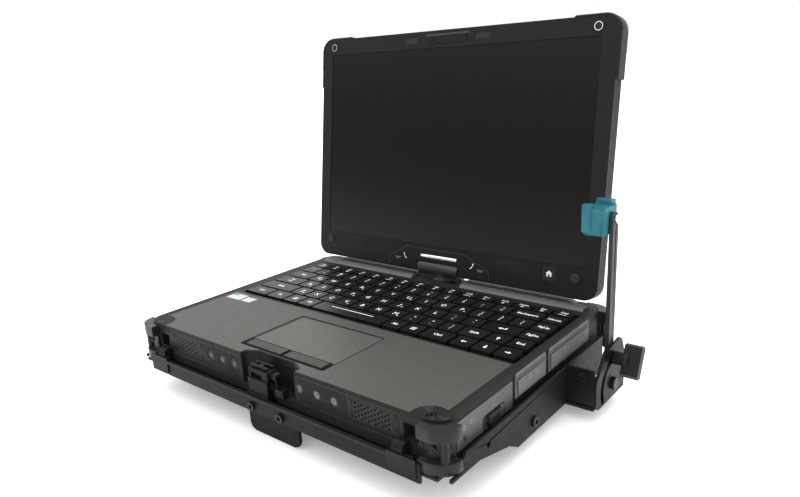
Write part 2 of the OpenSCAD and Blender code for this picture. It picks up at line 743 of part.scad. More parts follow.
// Screw rings at the top corners, round pads at the lower ones and two oblong pads at the top.
module display_pads() {
    color([0.5, 0.5, 0.5]) lid() {
        for (x = [-1, 1] * stud_x) translate([x, -lid_n1 + 1.4, stud_v]) rotate([90, 0, 0]) {
            difference() {
                cylinder(h = 2, r = 4);
                translate([0, 0, 1]) cylinder(h = 2, r = 2.8);
            }
            cylinder(h = 1.4, r = 1.8);
            rotate([180, 0, 0]) cylinder(h = lid_t - 5, r = 1.5);
        }
        for (x = [-stud_x, stud_x - 3]) translate([x, -lid_n1, low_pad_v]) rotate([90, 0, 0])
            cylinder(h = 0.8, r = 4);
        for (x = [-37, 35]) lid_slab(x - 7, stud_v - 2.5, x + 7, stud_v + 2.5, lid_n1, lid_n1 + 1.3, 2.4);
    }
}

// Raised plate round the swivel barrel.
module hinge_plate() {
    color([0.07, 0.07, 0.07]) lid() difference() {
        rotate([90, 0, 0]) translate([0, 0, lid_n1]) linear_extrude(0.8)
            polygon([[-54, plate_v0], [54, plate_v0], [52, 6], [28, plate_v1], [-34, plate_v1], [-54, 6]]);
        lid_notch();
    }
}

// Camera bar at the top of the lid, with its lens and the shutter's track.
module camera_latch() {
    color([0.1, 0.1, 0.1]) lid() {
        difference() {
            lid_slab(latch_x - 19.8, stud_v - 3.3, latch_x + 19.8, stud_v + 3.3, lid_n1 - 1.4, lid_n1 + 0.4, 0.9);
            translate([latch_x - 12, -lid_n1 - 1, stud_v]) rotate([-90, 0, 0]) cylinder(h = 1.5, r = 2.2);
            translate([latch_x + 12, -lid_n1 - 1, stud_v]) rotate([-90, 0, 0]) cylinder(h = 1.2, r = 0.9);
        }
        translate([latch_x - 12, -lid_n1 + 0.8, stud_v]) rotate([90, 0, 0]) cylinder(h = 0.6, r = 1.8);
    }
}

module home_button() {
    h = home_s / 2;
    color([0.5, 0.5, 0.5]) lid() lid_slab(home_x - h, low_pad_v - h, home_x + h, low_pad_v + h,
                                         lid_n1 - 1.2, lid_n1 + 0.2, 0.8);
}

// Side view of the cradle's floor: low at the front, deeper behind the bend.
FLOOR = [[cradle_y0, front_floor_z - sheet], [24, front_floor_z - sheet], [57, -40], [67, cradle_z],
         [cradle_d + cradle_y0 - 4, cradle_z]];

// Upper edge of the floor in side view, from the rear to the front.
FLOOR_TOP = [for (i = [len(FLOOR) - 1:-1:0]) FLOOR[i] + [i > 1 && i < len(FLOOR) - 1 ? 0.8 : 0, sheet]];

// Bent floor of the cradle, with the two ears that carry the paddle's rod.
module dock_tray() {
    ear_gap = paddle_w / 2 - 4.4;
    w = flange_x - seat_gap;
    color([0.2, 0.2, 0.2]) deck() difference() {
        union() {
            rotate([90, 0, 90]) translate([0, 0, -w]) linear_extrude(2 * w) polygon(concat(FLOOR, FLOOR_TOP));
            for (s = [-1, 1]) translate([paddle_x + s * ear_gap - 1, paddle_y, 0]) {
                block([0, -3, paddle_z], [2, 3, front_floor_z - sheet]);
                translate([0, 0, paddle_z]) rotate([0, 90, 0]) cylinder(h = 2, r = 3);
            }
        }
        both() block([flange_x - 5.5, cradle_y0 - 1, cradle_z], [flange_x + 1, 4, front_floor_z + 1]);
        translate([paddle_x - 40, paddle_y, paddle_z]) rotate([0, 90, 0]) cylinder(h = 80, r = paddle_rod_r + run_gap);
        for (x = [-1, 1] * bolt_pitch / 2, y = [-1, 1] * bolt_pitch / 2) translate([x, deck_y + y, cradle_z - 1])
            cylinder(h = sheet + 2, r = bolt_hole_d / 2);
    }
}

// Upright sides of the cradle, each with a small hole near its front.
module dock_flanges() {
    color([0.2, 0.2, 0.2]) deck() both() difference() {
        rotate([90, 0, 90]) translate([0, 0, flange_x]) linear_extrude(sheet)
            polygon(concat(FLOOR, [[FLOOR[len(FLOOR) - 1].x, flange_top + 2], [11, flange_top],
                                   [bumper_reach_y + 0.5, -23], [bumper_reach_y + 0.5, front_floor_z],
                                   [cradle_y0, front_floor_z]]));
        translate([flange_x - 5, 34, -27]) rotate([0, 90, 0]) cylinder(h = 12, r = flange_hole_r);
        block([flange_x - 1, cradle_y0 - 1, cradle_z], [flange_x + 5, -3, flange_top + 1]);
    }
}

// Front lip bar with the two corner hooks and their round pegs.
module dock_lip() {
    y0 = cradle_y0 - sheet;
    color([0.22, 0.22, 0.22]) deck() difference() {
        union() {
            block([-lip_x, y0, lip_z0], [lip_x, cradle_y0, lip_z1]);
            block([-lip_x + 20, y0 - 1, lip_z1 - 2], [lip_x - 20, y0, lip_z1]);
            both() {
                block([hook_x - 10, y0 - 1, -34], [hook_x + 11, y0, -22]);
                block([hook_x - 10, y0, lip_z1], [hook_x + 8, -bumper_out, -22]);
                translate([hook_x - 6.5, -4, -19]) rotate([0, 90, 0]) cylinder(h = 8, r = 3.4);
                block([hook_x - 6.5, y0, -24], [hook_x + 1.5, -3, -19]);
            }
        }
        for (x = lip_screw_xs) translate([x, y0 - 2, -32]) rotate([-90, 0, 0]) cylinder(h = 6, r = 1.6);
    }
}

module dock_housing() {
    color([0.15, 0.15, 0.15]) deck() difference() {
        block([-105, 82, cradle_z + sheet], [105, 192, floor_z - 0.1]);
        block([-102, 85, cradle_z + sheet + 3], [102, 189, floor_z - 3]);
        block([-24.2, 149.8, floor_z - 5], [24.2, 162.2, floor_z]);
        for (x = [-70, -35, 35, 70]) block([x - 9, 190.5, cradle_z + 6], [x + 9, 200, cradle_z + 13]);
        for (x = [-1, 1] * bolt_pitch / 2, y = [-1, 1] * bolt_pitch / 2) translate([x, deck_y + y, cradle_z])
            cylinder(h = 8, r = bolt_hole_d / 2);
    }
}

module dock_connector() {
    color([0.1, 0.1, 0.1]) deck() {
        block([-24, 150, floor_z - 3], [24, 162, floor_z - 0.1]);
        block([-80, 110, cradle_z + sheet + 5], [80, 178, cradle_z + sheet + 6.6]);
        for (x = [-70, 70], y = [118, 170]) translate([x, y, cradle_z + sheet + 3]) cylinder(h = 2, r = 3);
        for (x = [-20, 20]) translate([x, 156, cradle_z + sheet + 6.6])
            cylinder(h = floor_z - 3 - (cradle_z + sheet + 6.6), r = 3);
    }
}

// Catch that holds the base unit at the middle of its front edge, on its stepped foot.
module dock_catch() {
    x0 = catch_x - catch_w / 2;
    x1 = catch_x + catch_w / 2;
    color([0.12, 0.12, 0.12]) deck() {
        block([x0 + 2, cradle_y0, -30], [x1 - 2, cradle_y0 + 2, -12]);
        for (i = [0:2]) block([x0 + 1 + i, cradle_y0 - 1 + i, -24 + i * 4], [x1 - 2 - i, -1, -22.4 + i * 4]);
        difference() {
            block([x0 + 3, cradle_y0 + 1, -13], [x1 - 2, 3, -5]);
            block([x0 + 5, cradle_y0, -11.5], [x1 - 8, -3, -8]);
        }
        block([x0 + 4, -3.5, -5], [x1 - 3, -2, -2.6]);
        block([x0 + 4, 1, -5], [x1 - 3, 2.5, -2.6]);
        block([catch_x - 2, -3, -5], [catch_x + 2, 2, -3]);
        block([x1 - 2, -3, -10], [x1 + 4, 2, -6]);
        block([x1 + 3, -4, -21], [x1 + 11, 1, -15]);
        block([x1 + 2, -2, -17], [x1 + 4, 1, -8]);
    }
}

// Screws of the lip, the sides and the bracket, and the arm's pivot bolt.
module dock_screws() {
    y0 = cradle_y0 - sheet;
    color([0.12, 0.12, 0.12]) deck() {
        for (x = lip_screw_xs) translate([x, y0, -32]) rotate([90, 0, 0]) difference() {
            union() {
                cylinder(h = 1.8, r = 3.2);
                translate([0, 0, -sheet]) cylinder(h = sheet + 1, r = 1.6 - run_gap);
            }
            translate([0, 0, 0.8]) cylinder(h = 2, r = 1.6, $fn = 6);
        }
        both() translate([flange_x + sheet, 88, -38]) rotate([0, 90, 0]) difference() {
            cylinder(h = 1.6, r = 3.6);
            translate([0, 0, 0.8]) cylinder(h = 2, r = 1.8, $fn = 6);
        }
        translate([bracket_x - 9, bracket_y0, -22]) rotate([90, 0, 0]) difference() {
            cylinder(h = 1.6, r = 3.2);
            translate([0, 0, 0.8]) cylinder(h = 2, r = 1.6, $fn = 6);
        }
        translate([bracket_x - sheet, pivot_y, pivot_z]) rotate([0, 90, 0]) {
            translate([0, 0, -arm_t - 1.4]) cylinder(h = arm_t + sheet + 1.4, r = pivot_d / 2);
            translate([0, 0, sheet]) cylinder(h = 2.4, r = pivot_d / 2 + 2);
            translate([0, 0, -arm_t - 3.4]) cylinder(h = 2.6, r = pivot_d / 2 + 2);
        }
    }
}

// Release paddle that hangs below the lip, with its pivot rod.
module release_paddle() {
    w = paddle_w / 2;
    color([0.05, 0.05, 0.05]) deck() translate([paddle_x, paddle_y, paddle_z]) {
        translate([-w + 2, 0, 0]) rotate([0, 90, 0]) cylinder(h = paddle_w - 4, r = paddle_rod_r);
        rotate([90, 0, 0]) translate([0, 0, -1.3]) linear_extrude(2.6)
            polygon([[-w + 6, 0], [w - 6, 0], [w - 6, -3.4], [w, -5], [w, -paddle_h + 5], [w - 1.5, -paddle_h + 1.5],
                     [w - 5, -paddle_h], [-w + 5, -paddle_h], [-w + 1.5, -paddle_h + 1.5], [-w, -paddle_h + 5],
                     [-w, -5], [-w + 6, -3.4]]);
    }
}

// Side view of the arm bracket's outer plate.
function arc(c, r, a0, a1, n) = [for (i = [0:n]) c + r * [cos(a0 + (a1 - a0) * i / n), sin(a0 + (a1 - a0) * i / n)]];

module arm_bracket() {
    y1 = 180;
    z0 = cradle_z;
    color([0.3, 0.3, 0.3]) deck() {
        difference() {
            rotate([90, 0, 90]) translate([0, 0, bracket_x - sheet]) linear_extrude(sheet)
                polygon(concat([[bracket_y0, z0 + 4], [bracket_y0 + 4, z0], [y1, z0], [y1, -20]],
                               arc([pivot_y + 10, -12], 6, 20, 110, 6), [[146, -8], [137, -20], [bracket_y0, -26]]));
            translate([bracket_x - sheet - 1, pivot_y, pivot_z]) rotate([0, 90, 0])
                cylinder(h = sheet + 2, r = pivot_d / 2);
            translate([bracket_x - sheet - 1, pivot_y, pivot_z]) rotate([90, 0, 90]) linear_extrude(sheet + 2)
                arc_slot(slot_r, stud_r + 0.35, 74, 202);
        }
        block([flange_x + sheet, bracket_y0, z0 + 4], [bracket_x - sheet, bracket_y0 + sheet, -17]);
        block([flange_x + sheet, bracket_y0, z0], [bracket_x - sheet, 178, z0 + sheet]);
    }
}

// Curved slot between two angles, round ended.
module arc_slot(r, w, a0, a1) {
    for (a = [a0, a1]) rotate(a) translate([r, 0]) circle(w);
    n = 24;
    polygon(concat(arc([0, 0], r + w, a0, a1, n), arc([0, 0], r - w, a1, a0, n)));
}

// Turns and places its children in the arm's frame: Y across it and Z from the pivot to the pin.
module arm_frame() {
    deck() translate([arm_x, pivot_y, pivot_z]) rotate([-arm_lean, 0, 0]) children();
}

module support_arm() {
    color([0.4, 0.4, 0.4]) arm_frame() difference() {
        union() {
            rotate([0, 90, 0]) cylinder(h = arm_t, r = arm_w / 2 + 1);
            rotate([0, 90, 0]) translate([-arm_l, 0, 0]) cylinder(h = arm_t, r = arm_w / 2);
            block([0, -arm_w / 2, 0], [arm_t, arm_w / 2, arm_l]);
        }
        translate([-1, 0, 0]) rotate([0, 90, 0]) cylinder(h = arm_t + 2, r = pivot_d / 2 + run_gap);
        translate([-1, 0, arm_l]) rotate([0, 90, 0]) cylinder(h = arm_t + 2, r = arm_pin_r + 0.01);
        translate([-1, slot_r * sin(6 - arm_lean), slot_r * cos(6 - arm_lean)]) rotate([0, 90, 0])
            cylinder(h = arm_t + 2, r = stud_r + run_gap);
    }
}

module arm_pin() {
    color([0.6, 0.6, 0.6]) arm_frame() translate([0, 0, arm_l]) {
        translate([-10, 0, 0]) rotate([0, 90, 0]) cylinder(h = arm_t + 10, r = arm_pin_r);
        translate([arm_t, 0, 0]) rotate([0, 90, 0]) cylinder(h = 1.4, r = 3.2);
    }
}

// Wing knob with its threaded stud and the collar that clamps the bracket.
module clamp_knob() {
    x = bracket_x + 0.3;
    color([0.2, 0.2, 0.2]) deck() translate([0, knob_y, knob_z]) {
        translate([arm_x - 2, 0, 0]) rotate([0, 90, 0]) cylinder(h = x - arm_x + 4, r = stud_r);
        translate([x, 0, 0]) rotate([0, 90, 0]) cylinder(h = 7, r = 4.5);
        translate([x + 7, 0, 0]) rotate([0, 90, 0]) cylinder(h = 3, r = 6);
        for (turn = [-20, 160]) rotate([turn, 0, 0]) rotate([90, 0, 90]) translate([0, 0, x + 6])
            linear_extrude(12) polygon([[-3.2, 0], [3.2, 0], [4.2, 9.5], [1.5, 11.5], [-2.2, 10.5]]);
    }
}

// Clip that steadies the edge of the raised display.
module edge_clip() {
    color([0.24, 0.5, 0.58]) deck() translate([0, arm_top_y, clip_v]) difference() {
        union() {
            slab(clip_x0, -12, arm_x - 0.4, 11, -10, 8, 2.5);
            block([clip_x0, -13.5, -8], [clip_x0 + 6, -8, 10.5]);
            block([clip_x0 + 1, 4, 6], [arm_x - 2, 11, 11]);
        }
        translate([clip_x0 + 5, 0, 0]) rotate([0, 90, 0]) cylinder(h = 20, r = arm_pin_r + run_gap);
        block([clip_x0 - 1, -9, -4], [clip_x0 + 3, 7, 20]);
    }
}

bottom_case();
top_case();
palm_rest();
keyboard_tray();
touchpad();
touchpad_button_left();
touchpad_button_right();
front_panel_left();
front_panel_right();
speaker_grilles();
speaker_drivers();
front_buttons();
status_lights();
corner_bumpers_front();
corner_bumpers_rear();
bumper_screws();
battery_left();
battery_right();
battery_slide_left();
battery_slide_right();
port_doors_left();
port_door_front();
port_door_rear();
io_ports();
mainboard();
heat_spreader();
drive_module();
rubber_feet();
hinge_ridges();
keys_function();
keys_number();
keys_upper();
keys_home();
keys_lower();
keys_bottom();
key_space();
swivel_post();
hinge_pin();
display_back();
display_bezel();
lcd_panel();
touch_glass();
display_guards();
display_pads();
hinge_plate();
camera_latch();
home_button();
dock_tray();
dock_flanges();
dock_lip();
dock_housing();
dock_catch();
dock_screws();
release_paddle();
arm_bracket();
support_arm();
arm_pin();
clamp_knob();
edge_clip();
dock_connector();
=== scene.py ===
"""Looks of a rugged convertible laptop in its vehicle docking cradle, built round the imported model."""
import json
import math

import bmesh
import bpy
from mathutils import Matrix, Quaternion, Vector


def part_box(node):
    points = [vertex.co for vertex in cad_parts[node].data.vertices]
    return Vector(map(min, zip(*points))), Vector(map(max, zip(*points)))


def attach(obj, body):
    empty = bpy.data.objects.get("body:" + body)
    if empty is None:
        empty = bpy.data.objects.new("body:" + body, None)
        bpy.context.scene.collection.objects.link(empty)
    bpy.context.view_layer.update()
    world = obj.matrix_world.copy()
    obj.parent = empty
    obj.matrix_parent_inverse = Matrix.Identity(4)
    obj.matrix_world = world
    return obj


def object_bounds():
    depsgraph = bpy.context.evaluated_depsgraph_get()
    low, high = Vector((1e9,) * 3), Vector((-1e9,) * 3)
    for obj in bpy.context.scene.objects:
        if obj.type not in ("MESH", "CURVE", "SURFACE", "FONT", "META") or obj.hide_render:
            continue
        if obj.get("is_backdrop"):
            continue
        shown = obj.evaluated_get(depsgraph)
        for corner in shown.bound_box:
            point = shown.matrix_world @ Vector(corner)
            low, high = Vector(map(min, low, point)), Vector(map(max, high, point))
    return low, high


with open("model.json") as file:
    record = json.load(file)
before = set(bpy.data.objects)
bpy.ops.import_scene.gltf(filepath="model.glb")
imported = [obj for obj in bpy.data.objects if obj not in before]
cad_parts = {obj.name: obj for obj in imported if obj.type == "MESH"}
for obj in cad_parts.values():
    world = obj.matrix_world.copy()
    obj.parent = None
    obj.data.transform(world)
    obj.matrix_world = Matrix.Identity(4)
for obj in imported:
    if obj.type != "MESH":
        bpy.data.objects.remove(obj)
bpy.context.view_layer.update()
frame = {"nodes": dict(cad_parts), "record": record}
MM = 0.001


# ---------------------------------------------------------------- the frame's places

def joint(name):
    """Record of one joint."""
    return next(j for j in frame["record"]["behaviour"]["joints"] if j["name"] == name)


DECK_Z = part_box("palm_rest")[1].z
DECK_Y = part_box("top_case")[0].y
DECK_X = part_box("top_case")[1].x
CORNER = Vector((0, DECK_Y, DECK_Z))
DECK = Matrix.Translation(CORNER)
PIN = Vector(joint("display_tilt")["pos_m"])
INWARD = Vector(joint("home_button_press")["axis"]).normalized()
# The lid's frame: X along the hinge pin, Y up the lid, Z out of the screen.
LID = Matrix.Translation(PIN) @ Matrix((
    (1, 0, 0), (0, -INWARD.z, -INWARD.y), (0, INWARD.y, -INWARD.z))).to_4x4()
# The front face's frame: X to the right, Y up, Z out towards the user.
FRONT = DECK @ Matrix.Rotation(math.radians(90), 4, "X")
# The right side's frame: X to the rear, Y up, Z out to the right.
RIGHT = Matrix.Translation((DECK_X, DECK_Y, DECK_Z)) @ Matrix((
    (0, 0, 1), (1, 0, 0), (0, 1, 0))).to_4x4()
MIRROR = Matrix.Scale(-1, 4, (1, 0, 0))
# Height in mm of the display frame's front over the hinge pin's plane, and of the hinge plate on it.
LID_FRONT = 6.0
PLATE_FRONT = 6.8
# Height in mm up the display of its home button and low pads.
LOW_V = 12.0


def lid_height(node):
    """Height in mm up the display of a node's top."""
    return (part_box(node)[1].z - PIN.z) / MM / math.cos(math.asin(-INWARD.z))


def flat_box(lo, hi, axes, origin):
    """Middle and size in mm of a box along two of the frame's axes, from an origin."""
    i, j = axes
    x, y = (lo[i] + hi[i]) / 2 - origin[i], (lo[j] + hi[j]) / 2 - origin[j]
    return x / MM, y / MM, (hi[i] - lo[i]) / MM, (hi[j] - lo[j]) / MM


def deck_rect(lo, hi):
    """Middle and size of a box seen from above, in the deck's frame."""
    return flat_box(lo, hi, (0, 1), CORNER)


def front_rect(lo, hi):
    """Middle and size of a box seen from the front, in the front face's frame."""
    return flat_box(lo, hi, (0, 2), CORNER)


def side_rect(lo, hi):
    """Middle and size of a box seen from the side, in the right side's frame."""
    return flat_box(lo, hi, (1, 2), CORNER)


def islands(node):
    """Boxes (low corner, high corner) of a node's separate solids, from left to right."""
    b = bmesh.new()
    b.from_mesh(frame["nodes"][node].data)
    bmesh.ops.remove_doubles(b, verts=b.verts, dist=1e-6)
    seen, found = set(), []
    for start in b.verts:
        if start in seen:
            continue
        seen.add(start)
        stack, points = [start], []
        while stack:
            v = stack.pop()
            points.append(v.co.copy())
            for e in v.link_edges:
                w = e.other_vert(v)
                if w not in seen:
                    seen.add(w)
                    stack.append(w)
        lo = Vector([min(p[k] for p in points) for k in range(3)])
        hi = Vector([max(p[k] for p in points) for k in range(3)])
        found.append((lo, hi))
    b.free()
    return sorted(found, key=lambda box: box[0].x)


# ---------------------------------------------------------------- materials

def material(name, color, rough, metal=0.0, grain=0.0, grain_size=0.3, mottle=0.08, wear_and_highlight=0.0,
             rough_spread=0.06, coat=0.0, sheen=0.0, specular=0.14, brushed=False, dust=0.0):
    """Procedural surface. grain is the bump's depth in mm and grain_size its spacing in mm; mottle is the
    spread of the colour; the edge term lightens the edges, partly as rubbing and partly as a painted
    highlight along them; dust lightens patches in a broad, faint pattern. The scales of the noise are per
    metre."""
    m = bpy.data.materials.new(name)
    m.use_nodes = True
    nt = m.node_tree
    nodes, links = nt.nodes, nt.links
    bsdf = nodes["Principled BSDF"]
    coords = nodes.new("ShaderNodeTexCoord").outputs["Object"]

    def noise(scale, detail=4.0, stretch=None):
        n = nodes.new("ShaderNodeTexNoise")
        n.inputs["Scale"].default_value = scale
        n.inputs["Detail"].default_value = detail
        if stretch:
            mapping = nodes.new("ShaderNodeMapping")
            mapping.inputs["Scale"].default_value = stretch
            links.new(coords, mapping.inputs["Vector"])
            links.new(mapping.outputs["Vector"], n.inputs["Vector"])
        else:
            links.new(coords, n.inputs["Vector"])
        return n.outputs["Fac"]

    def spread(value, low, high, from_low=0.3, from_high=0.7):
        n = nodes.new("ShaderNodeMapRange")
        n.inputs["From Min"].default_value = from_low
        n.inputs["From Max"].default_value = from_high
        n.inputs["To Min"].default_value = low
        n.inputs["To Max"].default_value = high
        links.new(value, n.inputs["Value"])
        return n.outputs["Result"]

    def mix(factor, a, b, mode="MIX"):
        n = nodes.new("ShaderNodeMix")
        n.data_type = "RGBA"
        n.blend_type = mode
        for value, socket in ((factor, n.inputs[0]), (a, n.inputs[6]), (b, n.inputs[7])):
            if isinstance(value, (int, float)):
                socket.default_value = value
            elif isinstance(value, (tuple, list)):
                socket.default_value = (*value, 1)
            else:
                links.new(value, socket)
        return n.outputs[2]

    dark = [c * (1 - mottle) for c in color]
    light = [min(1, c * (1 + mottle)) for c in color]
    base = mix(spread(noise(90), 0, 1), dark, light)
    base = mix(spread(noise(1400, 2), 0, 0.5), base, light)
    if dust:
        base = mix(spread(noise(22, 6), 0, dust, 0.45, 0.75), base, [min(1, c * 1.8 + 0.02) for c in color])
    if wear_and_highlight:
        # Lighter colour on convex edges: partly rubbed edges, partly a painted highlight along them.
        edge = nodes.new("ShaderNodeNewGeometry").outputs["Pointiness"]
        base = mix(spread(edge, 0, wear_and_highlight, 0.52, 0.62), base, [min(1, c * 2.6 + 0.03) for c in color])
    links.new(base, bsdf.inputs["Base Color"])
    links.new(spread(noise(260, 3), rough - rough_spread, rough + rough_spread), bsdf.inputs["Roughness"])
    bsdf.inputs["Metallic"].default_value = metal
    bsdf.inputs["Specular IOR Level"].default_value = specular
    bsdf.inputs["Coat Weight"].default_value = coat
    bsdf.inputs["Coat Roughness"].default_value = 0.08
    bsdf.inputs["Sheen Weight"].default_value = sheen
    if grain:
        bump = nodes.new("ShaderNodeBump")
        bump.inputs["Strength"].default_value = 0.6
        bump.inputs["Distance"].default_value = grain * MM
        stretch = (1, 40, 1) if brushed else None
        links.new(noise(1000 / grain_size, 3, stretch), bump.inputs["Height"])
        links.new(bump.outputs["Normal"], bsdf.inputs["Normal"])
    return m


LOOKS = {
    "case_dark": dict(color=(0.0165, 0.0165, 0.016), rough=0.5, grain=0.03, grain_size=0.35, wear_and_highlight=0.35),
    "palm_metal": dict(color=(0.099, 0.096, 0.0895), rough=0.46, metal=0.15, grain=0.008, grain_size=0.18,
                       mottle=0.03, dust=0.04),
    "key_black": dict(color=(0.009, 0.009, 0.009), rough=0.34, grain=0.008, grain_size=0.2, wear_and_highlight=0.2,
                      specular=0.35),
    "pad_grey": dict(color=(0.116, 0.113, 0.105), rough=0.42, metal=0.15, grain=0.006, grain_size=0.15,
                     mottle=0.03),
    "grille_dark": dict(color=(0.030, 0.030, 0.029), rough=0.45, metal=0.3, grain=0.02, wear_and_highlight=0.4),
    "inner_black": dict(color=(0.008, 0.008, 0.008), rough=0.6, grain=0.02),
    "button_grey": dict(color=(0.032, 0.032, 0.0315), rough=0.38, grain=0.015, wear_and_highlight=0.4),
    "light_lens": dict(color=(0.055, 0.056, 0.056), rough=0.25, coat=0.5, mottle=0.2),
    "bumper_rubber": dict(color=(0.012, 0.012, 0.0124), rough=0.34, grain=0.03, grain_size=0.4, sheen=0.1,
                          wear_and_highlight=0.6, dust=0.06, specular=0.24),
    "black_screw": dict(color=(0.030, 0.030, 0.031), rough=0.32, metal=0.7, grain=0.01, wear_and_highlight=0.6),
    "side_plastic": dict(color=(0.080, 0.080, 0.079), rough=0.42, grain=0.02, wear_and_highlight=0.4),
    "door_rubber": dict(color=(0.090, 0.090, 0.088), rough=0.48, grain=0.03, wear_and_highlight=0.4, dust=0.1),
    "bare_steel": dict(color=(0.62, 0.62, 0.61), rough=0.24, metal=1.0, grain=0.006, grain_size=0.3,
                       brushed=True, mottle=0.05),
    "board_green": dict(color=(0.015, 0.075, 0.035), rough=0.3, coat=0.5),
    "foot_rubber": dict(color=(0.02, 0.02, 0.02), rough=0.7, grain=0.05),
    "ridge_grey": dict(color=(0.135, 0.132, 0.127), rough=0.48, metal=0.1, grain=0.01, wear_and_highlight=0.2, dust=0.1),
    "hinge_metal": dict(color=(0.075, 0.073, 0.070), rough=0.33, metal=0.6, grain=0.012, wear_and_highlight=0.5, dust=0.1),
    "lid_black": dict(color=(0.012, 0.012, 0.012), rough=0.45, grain=0.04, grain_size=0.45, wear_and_highlight=0.3,
                      dust=0.05),
    "bezel_black": dict(color=(0.019, 0.0195, 0.0195), rough=0.42, grain=0.012, grain_size=0.25, mottle=0.05),
    "lcd_black": dict(color=(0.004, 0.004, 0.005), rough=0.2),
    "screen_glass": dict(color=(0.0085, 0.0085, 0.009), rough=0.24, mottle=0.02, rough_spread=0.02,
                         specular=0.26),
    "guard_rubber": dict(color=(0.010, 0.010, 0.011), rough=0.5, grain=0.04, sheen=0.1, wear_and_highlight=0.3),
    "pad_ring": dict(color=(0.034, 0.034, 0.034), rough=0.45, grain=0.02),
    "cradle_paint": dict(color=(0.012, 0.012, 0.012), rough=0.42, metal=0.1, grain=0.03, grain_size=0.6,
                         wear_and_highlight=0.35, dust=0.04),
    "catch_black": dict(color=(0.009, 0.009, 0.009), rough=0.38, metal=0.3, grain=0.02, wear_and_highlight=0.6),
    "paddle_black": dict(color=(0.004, 0.004, 0.004), rough=0.4, grain=0.01, wear_and_highlight=0.2),
    "bracket_paint": dict(color=(0.010, 0.010, 0.010), rough=0.38, metal=0.3, grain=0.03, grain_size=0.6,
                          wear_and_highlight=0.5, dust=0.05),
    "arm_steel": dict(color=(0.055, 0.055, 0.055), rough=0.38, metal=0.5, grain=0.015, wear_and_highlight=0.4),
    "knob_plastic": dict(color=(0.020, 0.021, 0.022), rough=0.4, grain=0.02, wear_and_highlight=0.4),
    "clip_teal": dict(color=(0.030, 0.142, 0.172), rough=0.34, grain=0.015, mottle=0.3, wear_and_highlight=0.15),
}
MATERIALS = {name: material(name, **look) for name, look in LOOKS.items()}
WHITE_INK = material("white_ink", (0.86, 0.87, 0.87), 0.5, mottle=0.02)
GREY_INK = material("grey_ink", (0.26, 0.26, 0.26), 0.5, mottle=0.05)
# Faint light lines: outlines, and painted highlights along the rims of pads and panels.
FAINT_INK_AND_HIGHLIGHT = material("faint_ink_and_highlight", (0.075, 0.075, 0.074), 0.5, mottle=0.05)
CHROME = material("chrome_ring", (0.80, 0.80, 0.81), 0.16, metal=1.0, mottle=0.03)
LABEL_WHITE = material("label_white", (0.52, 0.55, 0.58), 0.3, mottle=0.05, coat=0.3)
LABEL_BLUE = material("label_blue", (0.08, 0.25, 0.36), 0.3, mottle=0.1, coat=0.3)
BUTTON_DARK = material("button_dark", (0.058, 0.057, 0.053), 0.4, metal=0.2, grain=0.006, mottle=0.03)
# Painted shade: near-black sheets laid in grooves, gaps, slots and holes where shade falls.
PAINTED_SHADE = material("painted_shade", (0.006, 0.006, 0.006), 0.6, mottle=0.1)
DIM_GLOW = material("dim_glow", (0.20, 0.21, 0.21), 0.35, mottle=0.1)

# Width in mm of the rounding on each slot's edges.
ROUND = {
    "bumper_rubber": 1.6, "guard_rubber": 0.8, "knob_plastic": 0.9, "clip_teal": 0.8, "key_black": 0.35,
    "lid_black": 0.9, "bezel_black": 0.35, "side_plastic": 0.35, "door_rubber": 0.5, "button_grey": 0.35,
    "palm_metal": 0.12, "pad_grey": 0.15, "paddle_black": 0.6, "arm_steel": 0.3, "screen_glass": 0.05,
    "lcd_black": 0, "board_green": 0, "light_lens": 0.3, "hinge_metal": 0.5, "grille_dark": 0.1,
    "catch_black": 0.3, "foot_rubber": 0.4,
}


def dress_cad_nodes():
    """Gives each CAD node its slot's material, and rounds its edges."""
    slots = {part["node"]: part["material_slot"] for part in frame["record"]["subparts"]}
    for node, obj in frame["nodes"].items():
        slot = slots[node]
        look = BUTTON_DARK if node.startswith("touchpad_button") else MATERIALS[slot]
        for holder in obj.material_slots:
            holder.material = look
        width = ROUND.get(slot, 0.25)
        if not width:
            continue
        weld = obj.modifiers.new("weld", "WELD")
        weld.merge_threshold = 1e-6
        bevel = obj.modifiers.new("edges", "BEVEL")
        bevel.width = width * MM
        bevel.segments = 3
        bevel.limit_method = "ANGLE"
        bevel.angle_limit = math.radians(38)
        bevel.use_clamp_overlap = True
        bevel.harden_normals = True


# ---------------------------------------------------------------- piece makers

def piece(name, mesh, body, mat, matrix=Matrix()):
    """A new piece that rides on a body and takes the given material."""
    mesh.transform(matrix)
    obj = bpy.data.objects.new(name, mesh)
    bpy.context.collection.objects.link(obj)
    obj.data.materials.append(mat)
    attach(obj, body)
    return obj


def prism(outlines, z, thick):
    """Mesh of flat shapes, each a closed list of (x, y) in mm in order, from height z and thick mm tall."""
    b = bmesh.new()
    for outline in outlines:
        low = [b.verts.new((x * MM, y * MM, z * MM)) for x, y in outline]
        high = [b.verts.new((x * MM, y * MM, (z + thick) * MM)) for x, y in outline]
        n = len(outline)
        b.faces.new(list(reversed(low)))
        b.faces.new(high)
        for i in range(n):
            j = (i + 1) % n
            b.faces.new((low[i], low[j], high[j], high[i]))
    bmesh.ops.recalc_face_normals(b, faces=b.faces)
    mesh = bpy.data.meshes.new("shape")
    b.to_mesh(mesh)
    b.free()
    return mesh


def arc_points(cx, cy, r, start, end, count):
    """Points along an arc, angles in degrees."""
    return [(cx + r * math.cos(math.radians(start + (end - start) * i / (count - 1))),
             cy + r * math.sin(math.radians(start + (end - start) * i / (count - 1)))) for i in range(count)]


def circle(cx, cy, r, sides=12):
    """Outline of a circle."""
    return arc_points(cx, cy, r, 0, 360, sides + 1)[:-1]


